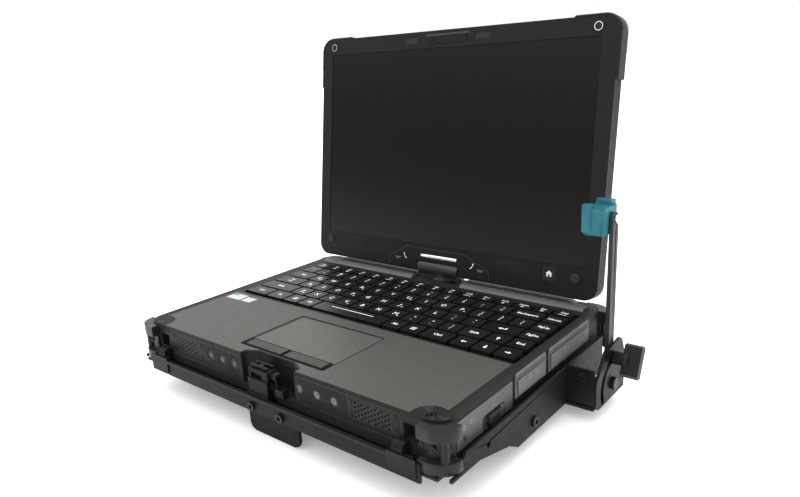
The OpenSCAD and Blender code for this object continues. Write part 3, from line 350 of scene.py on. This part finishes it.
def ring(cx, cy, outer, inner, sides=24):
    """Flat ring as a list of quads, in mm."""
    far, near = circle(cx, cy, outer, sides), circle(cx, cy, inner, sides)
    return [[far[i], far[(i + 1) % sides], near[(i + 1) % sides], near[i]] for i in range(sides)]


def band(points, width):
    """Outline of a stroke of the given width along points."""
    left, right = [], []
    for i, (x, y) in enumerate(points):
        x0, y0 = points[max(i - 1, 0)]
        x1, y1 = points[min(i + 1, len(points) - 1)]
        d = math.hypot(x1 - x0, y1 - y0) or 1
        nx, ny = -(y1 - y0) / d * width / 2, (x1 - x0) / d * width / 2
        left.append((x + nx, y + ny))
        right.append((x - nx, y - ny))
    return left + right[::-1]


def rect(cx, cy, w, h):
    """Outline of a rectangle round its middle."""
    return [(cx + x * w / 2, cy + y * h / 2) for x, y in ((-1, -1), (1, -1), (1, 1), (-1, 1))]


def round_rect(cx, cy, w, h, corner, grow=0.0, points=5):
    """Outline of a rounded rectangle, with its edge moved out by grow, in mm."""
    outline = []
    for sx, sy, start in ((1, 1, 0), (-1, 1, 90), (-1, -1, 180), (1, -1, 270)):
        outline += arc_points(cx + sx * (w / 2 - corner), cy + sy * (h / 2 - corner), corner + grow, start,
                              start + 90, points)
    return outline


def frame_outline(cx, cy, w, h, line, corner=1.0):
    """Thin rounded rectangular line, as quads, in mm."""
    outer, inner = round_rect(cx, cy, w, h, corner, line / 2), round_rect(cx, cy, w, h, corner, -line / 2)
    n = len(outer)
    return [[outer[i], outer[(i + 1) % n], inner[(i + 1) % n], inner[i]] for i in range(n)]


def arrow(cx, cy, turn, size=1.0):
    """Solid arrow that points to +X before it is turned, in degrees."""
    shape = [(-1.6, -0.35), (0, -0.35), (0, -1.1), (1.6, 0), (0, 1.1), (0, 0.35), (-1.6, 0.35)]
    c, s = math.cos(math.radians(turn)) * size, math.sin(math.radians(turn)) * size
    return [(cx + x * c - y * s, cy + x * s + y * c) for x, y in shape]


def lettering(text, size, bold, matrix):
    """Thin mesh of some generic text, thickened by bold mm and centred on the matrix's origin."""
    curve = bpy.data.curves.new("ink", "FONT")
    curve.body = text
    curve.size = size * MM
    curve.align_x = "CENTER"
    curve.align_y = "CENTER"
    curve.extrude = 0.00002
    curve.offset = bold * MM
    curve.resolution_u = 2
    holder = bpy.data.objects.new("ink", curve)
    bpy.context.collection.objects.link(holder)
    dg = bpy.context.evaluated_depsgraph_get()
    mesh = bpy.data.meshes.new_from_object(holder.evaluated_get(dg))
    bpy.data.objects.remove(holder)
    bpy.data.curves.remove(curve)
    mesh.transform(matrix)
    return mesh


def joined(meshes, name):
    """One mesh out of several."""
    b = bmesh.new()
    for m in meshes:
        b.from_mesh(m)
    out = bpy.data.meshes.new(name)
    b.to_mesh(out)
    b.free()
    return out


def screw_mesh(r, h, hole_r, place):
    """Domed screw head with a hole, round Z from 0 up, in mm."""
    b = bmesh.new()
    sides = 24
    rings = []
    for radius, height in ((r, 0), (r, h * 0.55), (r * 0.8, h), (hole_r, h), (hole_r * 0.9, h * 0.35)):
        rings.append([b.verts.new((x * MM, y * MM, height * MM)) for x, y in circle(0, 0, radius, sides)])
    for low, high in zip(rings, rings[1:]):
        for i in range(sides):
            b.faces.new((low[i], low[(i + 1) % sides], high[(i + 1) % sides], high[i]))
    b.faces.new(rings[-1])
    b.faces.new(list(reversed(rings[0])))
    bmesh.ops.recalc_face_normals(b, faces=b.faces)
    mesh = bpy.data.meshes.new("screw")
    b.to_mesh(mesh)
    b.free()
    mesh.transform(place)
    return mesh


def mirrored(mesh):
    """The mesh moved to the left side of the object."""
    mesh.transform(MIRROR)
    mesh.flip_normals()
    return mesh


def half_round(name, x0, x1, r, flat, body, mat, place):
    """Half-round bar along X with its flat side down, flattened by a factor and with sloping ends."""
    profile = [(c, h * flat) for c, h in arc_points(0, 0, r, 0, 180, 13)]
    b = bmesh.new()
    rings = [[b.verts.new((x * MM, c * MM, h * MM)) for c, h in profile]
             for x in (x0, x0 + 0.4, x1 - 0.4, x1)]
    for tip in (rings[0], rings[-1]):
        for v in tip:
            v.co.z *= 0.6
    for near, far in zip(rings, rings[1:]):
        for i in range(len(profile) - 1):
            b.faces.new((near[i], near[i + 1], far[i + 1], far[i]))
        b.faces.new((near[0], far[0], far[-1], near[-1]))
    b.faces.new(rings[0])
    b.faces.new(rings[-1])
    bmesh.ops.recalc_face_normals(b, faces=b.faces)
    mesh = bpy.data.meshes.new(name)
    b.to_mesh(mesh)
    b.free()
    bar = piece(name, mesh, body, mat, place)
    for poly in bar.data.polygons:
        poly.use_smooth = len(poly.vertices) == 4
    return bar


# ---------------------------------------------------------------- keyboard

LEGENDS = {
    "keys_function": ["Esc", "F1", "F2", "F3", "F4", "F5", "F6", "F7", "F8", "F9", "F10", "F11", "F12",
                      "Num", "Ins", "Del"],
    "keys_number": ["~\n`", "!\n1", "@\n2", "#\n3", "$\n4", "%\n5", "^\n6", "&\n7", "*\n8", "(\n9", ")\n0",
                    "_\n-", "+\n=", "Backspace", "Home"],
    "keys_upper": ["Tab", "Q", "W", "E", "R", "T", "Y", "U", "I", "O", "P", "{\n[", "}\n]", "|\n\\", "PgUp"],
    "keys_home": ["Caps\nLock", "A", "S", "D", "F", "G", "H", "J", "K", "L", ":\n;", "\"\n'", "Enter",
                  "PgDn"],
    "keys_lower": ["Shift", "Z", "X", "C", "V", "B", "N", "M", "<\n,", ">\n.", "?\n/", "Shift", "up", "End"],
    "keys_bottom": ["Ctrl", "Fn", "menu", "Alt", "Alt", "menu", "Ctrl", "left", "down", "right"],
}
TURNS = {"right": 0, "up": 90, "left": 180, "down": 270}
# Thickness in mm of the shapes printed on the keys, and of the thinner ones among them.
INK = 0.04
THIN_INK = 0.03
# Height in mm of the lettering over a key's top, and the way in mm from its middle to each of two marks.
LETTER_Z = 0.03
MARK_Y = 2.1


def function_icon(kind):
    """Small generic picture for a function key, in mm round its middle."""
    if kind == 0:
        return [rect(0, 0, 2.6, 0.7), rect(0, 0.9, 0.7, 1.0), rect(0, -0.9, 0.7, 1.0)]
    if kind == 1:
        return [[(-1.4, -0.6), (-0.5, -0.6), (0.4, -1.3), (0.4, 1.3), (-0.5, 0.6), (-1.4, 0.6)],
                rect(1.2, 0, 0.5, 1.7)]
    if kind == 2:
        return [rect(0, 0, 2.8, 1.9)]
    return [rect(-0.9, 0, 0.9, 2.0), rect(0.7, 0, 1.4, 0.8)]


def key_text(text, size, bold, y=0.0):
    """Lettering on a key, y mm behind the middle of its top."""
    return lettering(text, size, bold, Matrix.Translation((0, y * MM, LETTER_Z * MM)))


def legend(node, index, word):
    """Meshes of one key's white marks, round the middle of its top."""
    if word in TURNS:
        return [prism([arrow(0, 0, TURNS[word], 1.5)], 0.0, INK)]
    if word == "menu":
        return [prism([rect(0, k * 1.6, 4.6, 0.85) for k in (-1, 0, 1)], 0.0, INK)]
    if word == "Enter":
        hook = [(3.6, 1.9), (3.6, -0.9), (-0.6, -0.9), (-0.6, -2.1), (-3.2, -0.3), (-0.6, 1.5), (-0.6, 0.3),
                (2.4, 0.3), (2.4, 1.9)]
        return [prism([hook], 0.0, INK)]
    if node == "keys_function":
        if index % 5:
            icon = prism(function_icon(index % 4), 0.0, INK)
            icon.transform(Matrix.Translation((0, -MARK_Y * MM, 0)))
        else:
            icon = prism([rect(0, -MARK_Y, 6.5, 0.7)], 0.0, THIN_INK)
        return [key_text(word, 4.0, 0.09, 1.7), icon]
    if "\n" in word:
        top, low = word.split("\n")
        size = 4.0 if len(low) == 1 else 3.1
        return [key_text(top, size, 0.08, MARK_Y), key_text(low, size, 0.08, -MARK_Y)]
    if len(word) == 1:
        marks = [key_text(word, 6.0, 0.14)]
        if index % 3 == 1:
            marks.append(prism([rect(3.6, -2.8, 1.5, 1.1)], 0.0, THIN_INK))
        return marks
    return [key_text(word, 4.2, 0.12)]


def key_legends():
    """White marks on all the keys, one piece for each node of keys."""
    bodies = frame["record"]["behaviour"]["bodies"]
    for node, words in LEGENDS.items():
        parts = []
        for index, ((lo, hi), word) in enumerate(zip(islands(node), words)):
            here = Matrix.Translation(((lo.x + hi.x) / 2, (lo.y + hi.y) / 2, hi.z))
            for mesh in legend(node, index, word):
                mesh.transform(here)
                parts.append(mesh)
        body = next(name for name, nodes in bodies.items() if node in nodes)
        piece("legends_" + node, joined(parts, node), body, WHITE_INK)
    lo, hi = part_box("key_space")
    here = Matrix.Translation(((lo.x + hi.x) / 2, (lo.y + hi.y) / 2, hi.z))
    piece("legend_space", prism([rect(0, 2.2, 44, 0.9)], 0.0, INK), "space", WHITE_INK, here)


# ---------------------------------------------------------------- details

def palm_labels():
    """Two blank labels at the palm rest's rear left corner, one with a coloured patch."""
    cx, cy, w, h = deck_rect(*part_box("palm_rest"))
    x, y = cx - w / 2 + 9, cy + h / 2 - 9
    labels = {
        "plain": ((x + 3, y, 17, 11), 0.0, 0.06, LABEL_WHITE),
        "corner": ((x - 2.2, y + 3.4, 6, 3.6), 0.06, 0.03, LABEL_BLUE),
        "small": ((x + 19, y - 0.5, 11, 9), 0.0, 0.06, LABEL_WHITE),
    }
    for name, (place, lift, thick, mat) in labels.items():
        piece("palm_label_" + name, prism([rect(*place)], lift, thick), "base", mat, DECK)


def hinge_marks():
    """Thin line round the hinge plate, and an arrow for each way the display turns."""
    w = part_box("hinge_plate")[1].x / MM
    v1 = lid_height("hinge_plate") - 0.4
    line = band([(-w + 0.4, -1.6), (-w + 0.4, 5.8), (-34.2, v1 - 0.6), (28.2, v1 - 0.6), (w - 2.2, 5.6),
                 (w - 0.4, -1.6)], 0.55)
    piece("hinge_plate_line", prism([line], PLATE_FRONT, 0.05), "display", FAINT_INK_AND_HIGHLIGHT, LID)
    marks = []
    for cx, side, start, end, turn in ((-35, 1, 250, 200, 110), (35, -1, 290, 340, 70)):
        marks.append(band(arc_points(cx + 2.5 * side, 9.5, 4.2, start, end, 8), 0.8))
        marks.append(arrow(cx - 1.8 * side, 9.2, turn, 0.9))
    piece("turn_arrows", prism(marks, PLATE_FRONT, 0.05), "display", WHITE_INK, LID)
    bars = [rect(x, v, length, 0.5) for x in (-44, 44) for v, length in ((5.5, 7), (4.3, 5))]
    piece("turn_bars", prism(bars, PLATE_FRONT, 0.05), "display", GREY_INK, LID)


def home_mark():
    """Generic picture of a house on the home button, and the light rim round it."""
    lo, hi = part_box("home_button")
    cx = (lo.x + hi.x) / 2 / MM
    roof = [(cx - 3.0, LOW_V + 0.2), (cx + 3.0, LOW_V + 0.2), (cx, LOW_V + 2.7)]
    walls = [rect(cx + side * 1.45, LOW_V - 1.1, 1.3, 2.3) for side in (-1, 1)]
    lintel = rect(cx, LOW_V - 0.25, 1.6, 0.6)
    house = prism([roof, lintel] + walls, LID_FRONT + 0.2, 0.05)
    piece("home_mark", house, "home", WHITE_INK, LID)
    rim = frame_outline(cx, LOW_V, 9.4, 9.4, 0.5, 1.3)
    piece("home_rim", prism(rim, LID_FRONT, 0.12), "display", FAINT_INK_AND_HIGHLIGHT, LID)


# Width in mm over which one of the display's pads is an oblong one.
OBLONG_PAD = 10


def lid_marks():
    """Small features of the display's frame: sensor window, microphone with painted shade in its hole, camera
    strip, studs, and pads with painted highlights on their rims.
    """
    window = [(60, 7.5), (87, 7.5), (89, 9.5), (89, 15.5), (87, 17.5), (60, 17.5), (58, 15.5), (58, 9.5)]
    glass = MATERIALS["screen_glass"]
    piece("sensor_window", prism([window], LID_FRONT, 0.06), "display", glass, LID)
    # Dark dots of the sensors behind the window and of the microphone; the microphone's dot is painted shade
    # in its hole.
    dots = [circle(x, v, r) for x, v, r in ((-85, 12.3, 0.8), (68, 12.5, 0.6), (79, 12.0, 0.6))]
    piece("frame_dots", prism(dots, LID_FRONT + 0.05, 0.05), "display", PAINTED_SHADE, LID)

    v = lid_height("camera_latch") - 4.6
    strip = [(-24, v + 3.6), (22, v + 3.6), (20, v + 5.0), (-22, v + 5.0)]
    piece("camera_strip", prism([strip], LID_FRONT, 0.25), "display", FAINT_INK_AND_HIGHLIGHT, LID)

    rings = [quad for x in (-130.5, 130.5) for quad in ring(x, 194.5, 3.2, 2.6, 32)]
    piece("stud_rings", prism(rings, LID_FRONT + 0.6, 0.3), "display", CHROME, LID)

    # Painted highlight on each low pad's rim, and the dots of its surface.
    spots = []
    for x in (-130.5, 127.5):
        spots += ring(x, LOW_V, 3.0, 2.6, 32)
        spots += [circle(x + i * 1.1, LOW_V + j * 1.1, 0.35, 8) for i in (-1, 0, 1) for j in (-1, 0, 1)]
    piece("low_pad_highlights_and_dots", prism(spots, LID_FRONT + 0.8, 0.05), "display", FAINT_INK_AND_HIGHLIGHT, LID)

    # Painted highlight along the rim of each oblong pad.
    rims = []
    for lo, hi in islands("display_pads"):
        cx, _, w, _ = front_rect(lo, hi)
        if w > OBLONG_PAD:
            rims += frame_outline(cx, v, 14.6, 5.6, 0.35, 2.6)
    piece("pad_rim_highlights", prism(rims, LID_FRONT, 0.5), "display", FAINT_INK_AND_HIGHLIGHT, LID)


def pad_surrounds():
    """Painted shade in the grooves round the touchpad and its two buttons, and along their edges."""
    groove_depth = 0.98
    buttons = {"pad_left": "touchpad_button_left", "pad_right": "touchpad_button_right"}
    grooves = []
    for node in buttons.values():
        cx, cy, w, h = deck_rect(*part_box(node))
        grooves += frame_outline(cx, cy, w + 1.1, h + 1.1, 1.1, 1.2)
    piece("button_groove_shade", prism(grooves, -groove_depth, 0.02), "base", PAINTED_SHADE, DECK)

    # Painted shade along the rim of the recess that holds the touchpad and its buttons.
    cx, cy, w, h = deck_rect(*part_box("touchpad"))
    front = (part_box("touchpad_button_left")[0].y - DECK_Y) / MM - 1.6
    rear = cy + h / 2 + 0.5
    rim = frame_outline(cx, (front + rear) / 2, w + 1.6, rear - front, 0.7, 2.2)
    piece("touchpad_edge_shade", prism(rim, 0.0, 0.02), "base", PAINTED_SHADE, DECK)

    # Painted shade along the edge of each button's top.
    for body, node in buttons.items():
        cx, cy, w, h = deck_rect(*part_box(node))
        top = (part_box(node)[1].z - DECK_Z) / MM
        edge = frame_outline(cx, cy, w - 0.7, h - 0.7, 0.8, 0.7)
        piece(node + "_edge", prism(edge, top, 0.02), body, PAINTED_SHADE, DECK)


def front_marks():
    """Painted highlights along the front panels' edges, the lit line and glyphs of the lights, and the
    buttons' marks.
    """
    # Painted highlight: a faint light line along each front panel's edge.
    for side in ("left", "right"):
        cx, cy, w, h = front_rect(*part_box("front_panel_" + side))
        shape = frame_outline(cx, cy, w - 2.2, h - 2.2, 0.35, 1.5)
        piece("front_edge_highlight_" + side, prism(shape, 0.0, 0.05), "base", FAINT_INK_AND_HIGHLIGHT, FRONT)

    lights = islands("status_lights")
    cx, cy, _, _ = front_rect(*lights[0])
    glyphs = [rect(cx, cy, 0.7, 3.6)]
    for box in lights[1:]:
        cx, cy, _, _ = front_rect(*box)
        glyphs += ring(cx, cy, 1.9, 1.3)
        glyphs += [rect(cx + side * 0.6, cy, 0.5, 1.6) for side in (-1, 1)]
    depth = -(lights[0][0].y - DECK_Y) / MM
    piece("light_glyphs", prism(glyphs, depth, 0.06), "base", DIM_GLOW, FRONT)

    marks = []
    steps = 20
    for box in islands("front_buttons"):
        cx, cy, _, _ = front_rect(*box)
        outer, inner = (arc_points(cx, cy, r, 120, 420, steps + 1) for r in (1.5, 0.9))
        marks += [[outer[i], outer[i + 1], inner[i + 1], inner[i]] for i in range(steps)]
        marks.append(rect(cx, cy + 1.2, 0.5, 1.8))
    depth = -(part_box("front_buttons")[0].y - DECK_Y) / MM
    piece("button_glyphs", prism(marks, depth, 0.06), "front_keys", DIM_GLOW, FRONT)


def small_screws():
    """Screws in the webs of the corner bumpers."""
    z = -15.5 * MM
    meshes = []
    for x in (-138.5, -130.5, 130.5, 138.5):
        meshes.append(screw_mesh(1.5, 0.8, 0.7, FRONT @ Matrix.Translation((x * MM, z, 2.0 * MM))))
    for y in (1.5, 16.5):
        place = RIGHT @ Matrix.Translation((y * MM, z, 1.9 * MM))
        meshes += [screw_mesh(1.4, 0.8, 0.6, place), mirrored(screw_mesh(1.4, 0.8, 0.6, place))]
    piece("bumper_small_screws", joined(meshes, "screws"), "base", MATERIALS["black_screw"])


def display_rear():
    """Raised panel, ribs and screws on the back of the display."""
    back = LID @ Matrix.Rotation(math.pi, 4, "Y")
    top = lid_height("display_back")
    low, high = 26.0, top - 30
    middle, tall = (low + high) / 2, high - low
    plates = [prism([round_rect(0, middle, 224, tall, 8, 0.0, 7)], LID_FRONT, 0.45),
              prism([round_rect(0, middle, 224, tall, 8, -1.2, 7)], LID_FRONT + 0.45, 0.35)]
    piece("rear_panel", joined(plates, "rear"), "display", MATERIALS["lid_black"], back)
    ribs = [rect(side * x, middle, 2.0, tall - 30) for side in (-1, 1) for x in (56, 70, 84)]
    rubber = MATERIALS["guard_rubber"]
    piece("rear_ribs", prism(ribs, LID_FRONT + 0.8, 0.2), "display", rubber, back)
    screws = [screw_mesh(2.4, 0.9, 1.1, back @ Matrix.Translation((x * MM, v * MM, LID_FRONT * MM)))
              for x in (-125, -60, 60, 125) for v in (14.0, top - 18)]
    piece("rear_screws", joined(screws, "rear_screws"), "display", MATERIALS["black_screw"])


def base_rear():
    """Vent with painted shade in its slots, port covers and screws on the rear of the base."""
    rear = Matrix.Translation((0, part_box("bottom_case")[1].y, DECK_Z)) @ Matrix((
        (-1, 0, 0), (0, 0, 1), (0, 1, 0))).to_4x4()
    # Painted shade: dark sheets where the vent's slots open.
    slots = [rect(i * 4.2, -13, 1.6, 11) for i in range(-6, 7)]
    piece("rear_vent", prism(slots, 0.0, 0.05), "base", PAINTED_SHADE, rear)
    piece("rear_vent_frame", prism(frame_outline(0, -13, 60, 15, 0.8, 2), 0.0, 0.5), "base",
          MATERIALS["case_dark"], rear)
    covers = [prism([rect(x, -14, 44, 14) for x in (-80, 80)], 0.0, 0.7),
              prism([rect(x, -14, 36, 9) for x in (-80, 80)], 0.7, 0.5)]
    piece("rear_covers", joined(covers, "covers"), "base", MATERIALS["case_dark"], rear)
    screws = [screw_mesh(2.2, 0.8, 1.0, rear @ Matrix.Translation((x * MM, -13 * MM, 0)))
              for x in (-108, -48, 48, 108)]
    piece("rear_case_screws", joined(screws, "screws"), "base", MATERIALS["black_screw"])


def hinge_trim():
    """Bright strip over the swivel barrel, and the bright disc that the barrel turns on."""
    half_round("hinge_strip", -17.5, 20.5, 2.0, 0.7, "display", CHROME,
               LID @ Matrix.Translation((0, 9.9 * MM, PLATE_FRONT * MM)))
    piece("swivel_disc", prism(ring(0, 0, 7.6, 5.2, 48), 1.5, 0.15), "swivel", CHROME,
          Matrix.Translation((0, PIN.y, DECK_Z)))


def door_caps():
    """Raised strips on the case above the port doors, and painted shade in the gap in front of each door."""
    looks = {"door_cap": ("door_rubber", MATERIALS["door_rubber"]), "door_gap": ("inner_black", PAINTED_SHADE)}
    for node in ("port_door_front", "port_door_rear", "port_doors_left"):
        for index, box in enumerate(islands(node)):
            cy, _, length, _ = side_rect(*box)
            y0, y1 = cy - length / 2, cy + length / 2
            strip = [(y0 + 0.6, -3.9), (y1 - 0.6, -3.9), (y1 - 1.2, -1.3), (y0 + 1.2, -1.3)]
            cap = prism([strip], 0.0, 0.35)
            # Painted shade: a dark sheet in the gap in front of the door.
            gap = prism([rect(y0 - 1.0, -9.5, 1.6, 17)], 0.0, 0.05)
            for name, mesh in (("door_cap", cap), ("door_gap", gap)):
                mesh.transform(RIGHT)
                if node == "port_doors_left":
                    mirrored(mesh)
                slot, look = looks[name]
                piece("%s_%s_%d" % (name, node, index), mesh, "base", look)


def slide_surrounds():
    """Painted shade in the gap round each battery latch and the way that it slides."""
    level = (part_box("battery_right")[1].x - DECK_X) / MM
    for name in ("right", "left"):
        cy, cz, length, tall = side_rect(*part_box("battery_slide_" + name))
        travel = max(joint("battery_slide_%s_move" % name)["range_m"]) / MM
        mesh = prism(frame_outline(cy, cz, length + 2 * travel + 2.0, tall + 1.6, 0.7, 1.5), level, 0.04)
        mesh.transform(RIGHT)
        if name == "left":
            mirrored(mesh)
        piece("slide_shade_" + name, mesh, "base", PAINTED_SHADE)


def ring_marks(name, body, node, places):
    """Generic rings on a node of the right side, each with its way to the rear, height and radius in mm."""
    level = (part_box(node)[1].x - DECK_X) / MM
    shapes = [quad for y, z, r in places for quad in ring(y, z, r, r - 0.5)]
    piece(name + "_marks", prism(shapes, level, 0.04), body, GREY_INK, RIGHT)


def side_marks():
    """Marks on the right side's battery and port doors, and the painted shade round both battery latches."""
    ring_marks("battery", "base", "battery_right", ((18, -10.5, 1.6), (25, -9.5, 1.3)))
    slide_surrounds()
    ring_marks("door_front", "door_front", "port_door_front", ((92, -10, 1.7), (101, -9.5, 1.2)))
    ring_marks("door_rear", "door_rear", "port_door_rear", ((142, -9, 1.4),))


# ---------------------------------------------------------------- floor, light and camera

def plain_material(name, color, rough, glow):
    """Even surface with some white light of its own."""
    m = bpy.data.materials.new(name)
    m.use_nodes = True
    bsdf = m.node_tree.nodes["Principled BSDF"]
    bsdf.inputs["Base Color"].default_value = (*color, 1)
    bsdf.inputs["Roughness"].default_value = rough
    bsdf.inputs["Emission Color"].default_value = (1, 1, 1, 1)
    bsdf.inputs["Emission Strength"].default_value = glow
    return m


# The room's light: along each direction the strength goes from the third of the limits to the fourth, while
# the part of the view direction that lies along it goes from the first to the second.
ROOM_LIGHT = (
    ((-0.62, 0.74, 0.26), (-0.1, 0.6, 0.18, 1.0)),
    ((0.0, 0.0, 1.0), (0.08, 0.42, 0.07, 1.6)),
)
# Gap in m between the floor and the object's lowest point.
FLOOR_GAP = 0.5 * MM


def studio():
    """White floor and backdrop, the room's light, and a broad overhead light."""
    bpy.context.scene.view_settings.view_transform = "Standard"
    bpy.context.scene.view_settings.gamma = 0.9
    bpy.ops.mesh.primitive_plane_add(size=200, location=(0, 0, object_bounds()[0].z - FLOOR_GAP))
    floor = bpy.context.object
    floor.name = "floor"
    floor.data.materials.append(plain_material("floor_white", (0.95, 0.95, 0.95), 0.9, 0.28))
    floor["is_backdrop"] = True
    world = bpy.data.worlds.new("studio")
    world.use_nodes = True
    nodes, links = world.node_tree.nodes, world.node_tree.links
    background = nodes["Background"]
    background.inputs["Color"].default_value = (1, 1, 1, 1)
    # Bright behind the object and overhead, and a dimmer room in front of it.
    brighter = nodes.new("ShaderNodeMath")
    brighter.operation = "MAXIMUM"
    way = nodes.new("ShaderNodeTexCoord").outputs["Generated"]
    for index, (direction, limits) in enumerate(ROOM_LIGHT):
        toward = nodes.new("ShaderNodeVectorMath")
        toward.operation = "DOT_PRODUCT"
        toward.inputs[1].default_value = direction
        links.new(way, toward.inputs[0])
        fade = nodes.new("ShaderNodeMapRange")
        fade.interpolation_type = "SMOOTHSTEP"
        for socket, value in zip(("From Min", "From Max", "To Min", "To Max"), limits):
            fade.inputs[socket].default_value = value
        links.new(toward.outputs["Value"], fade.inputs["Value"])
        links.new(fade.outputs["Result"], brighter.inputs[index])
    # Seen directly, the backdrop is plain white all round.
    seen = nodes.new("ShaderNodeMix")
    seen.inputs["B"].default_value = 1.0
    links.new(nodes.new("ShaderNodeLightPath").outputs["Is Camera Ray"], seen.inputs["Factor"])
    links.new(brighter.outputs["Value"], seen.inputs["A"])
    links.new(seen.outputs["Result"], background.inputs["Strength"])
    bpy.context.scene.world = world
    sun = bpy.data.lights.new("overhead", "SUN")
    sun.energy = 0.8
    sun.angle = math.radians(75)
    obj = bpy.data.objects.new("overhead", sun)
    obj.rotation_mode = "QUATERNION"
    obj.rotation_quaternion = Vector((-0.25, 0.3, 1)).to_track_quat("Z", "Y")
    bpy.context.collection.objects.link(obj)


def camera():
    """The photo's view, from the front right and a little above."""
    azimuth, elevation, roll = map(math.radians, (40.0, 15.4, -3.27))
    back = Vector((math.sin(azimuth) * math.cos(elevation), -math.cos(azimuth) * math.cos(elevation),
                   math.sin(elevation)))
    target = DECK @ Vector((0.0130, 0.1295, 0.0474))
    distance = 0.5156
    data = bpy.data.cameras.new("camera")
    data.lens = 29.9
    data.sensor_width = 36
    data.clip_start = 0.01
    obj = bpy.data.objects.new("camera", data)
    bpy.context.collection.objects.link(obj)
    obj.location = target + back * distance
    obj.rotation_mode = "QUATERNION"
    obj.rotation_quaternion = (-back).to_track_quat("-Z", "Y") @ Quaternion((0, 0, 1), roll)
    bpy.context.scene.camera = obj


dress_cad_nodes()
key_legends()
palm_labels()
hinge_marks()
home_mark()
lid_marks()
pad_surrounds()
front_marks()
small_screws()
display_rear()
base_rear()
hinge_trim()
side_marks()
door_caps()
studio()
camera()
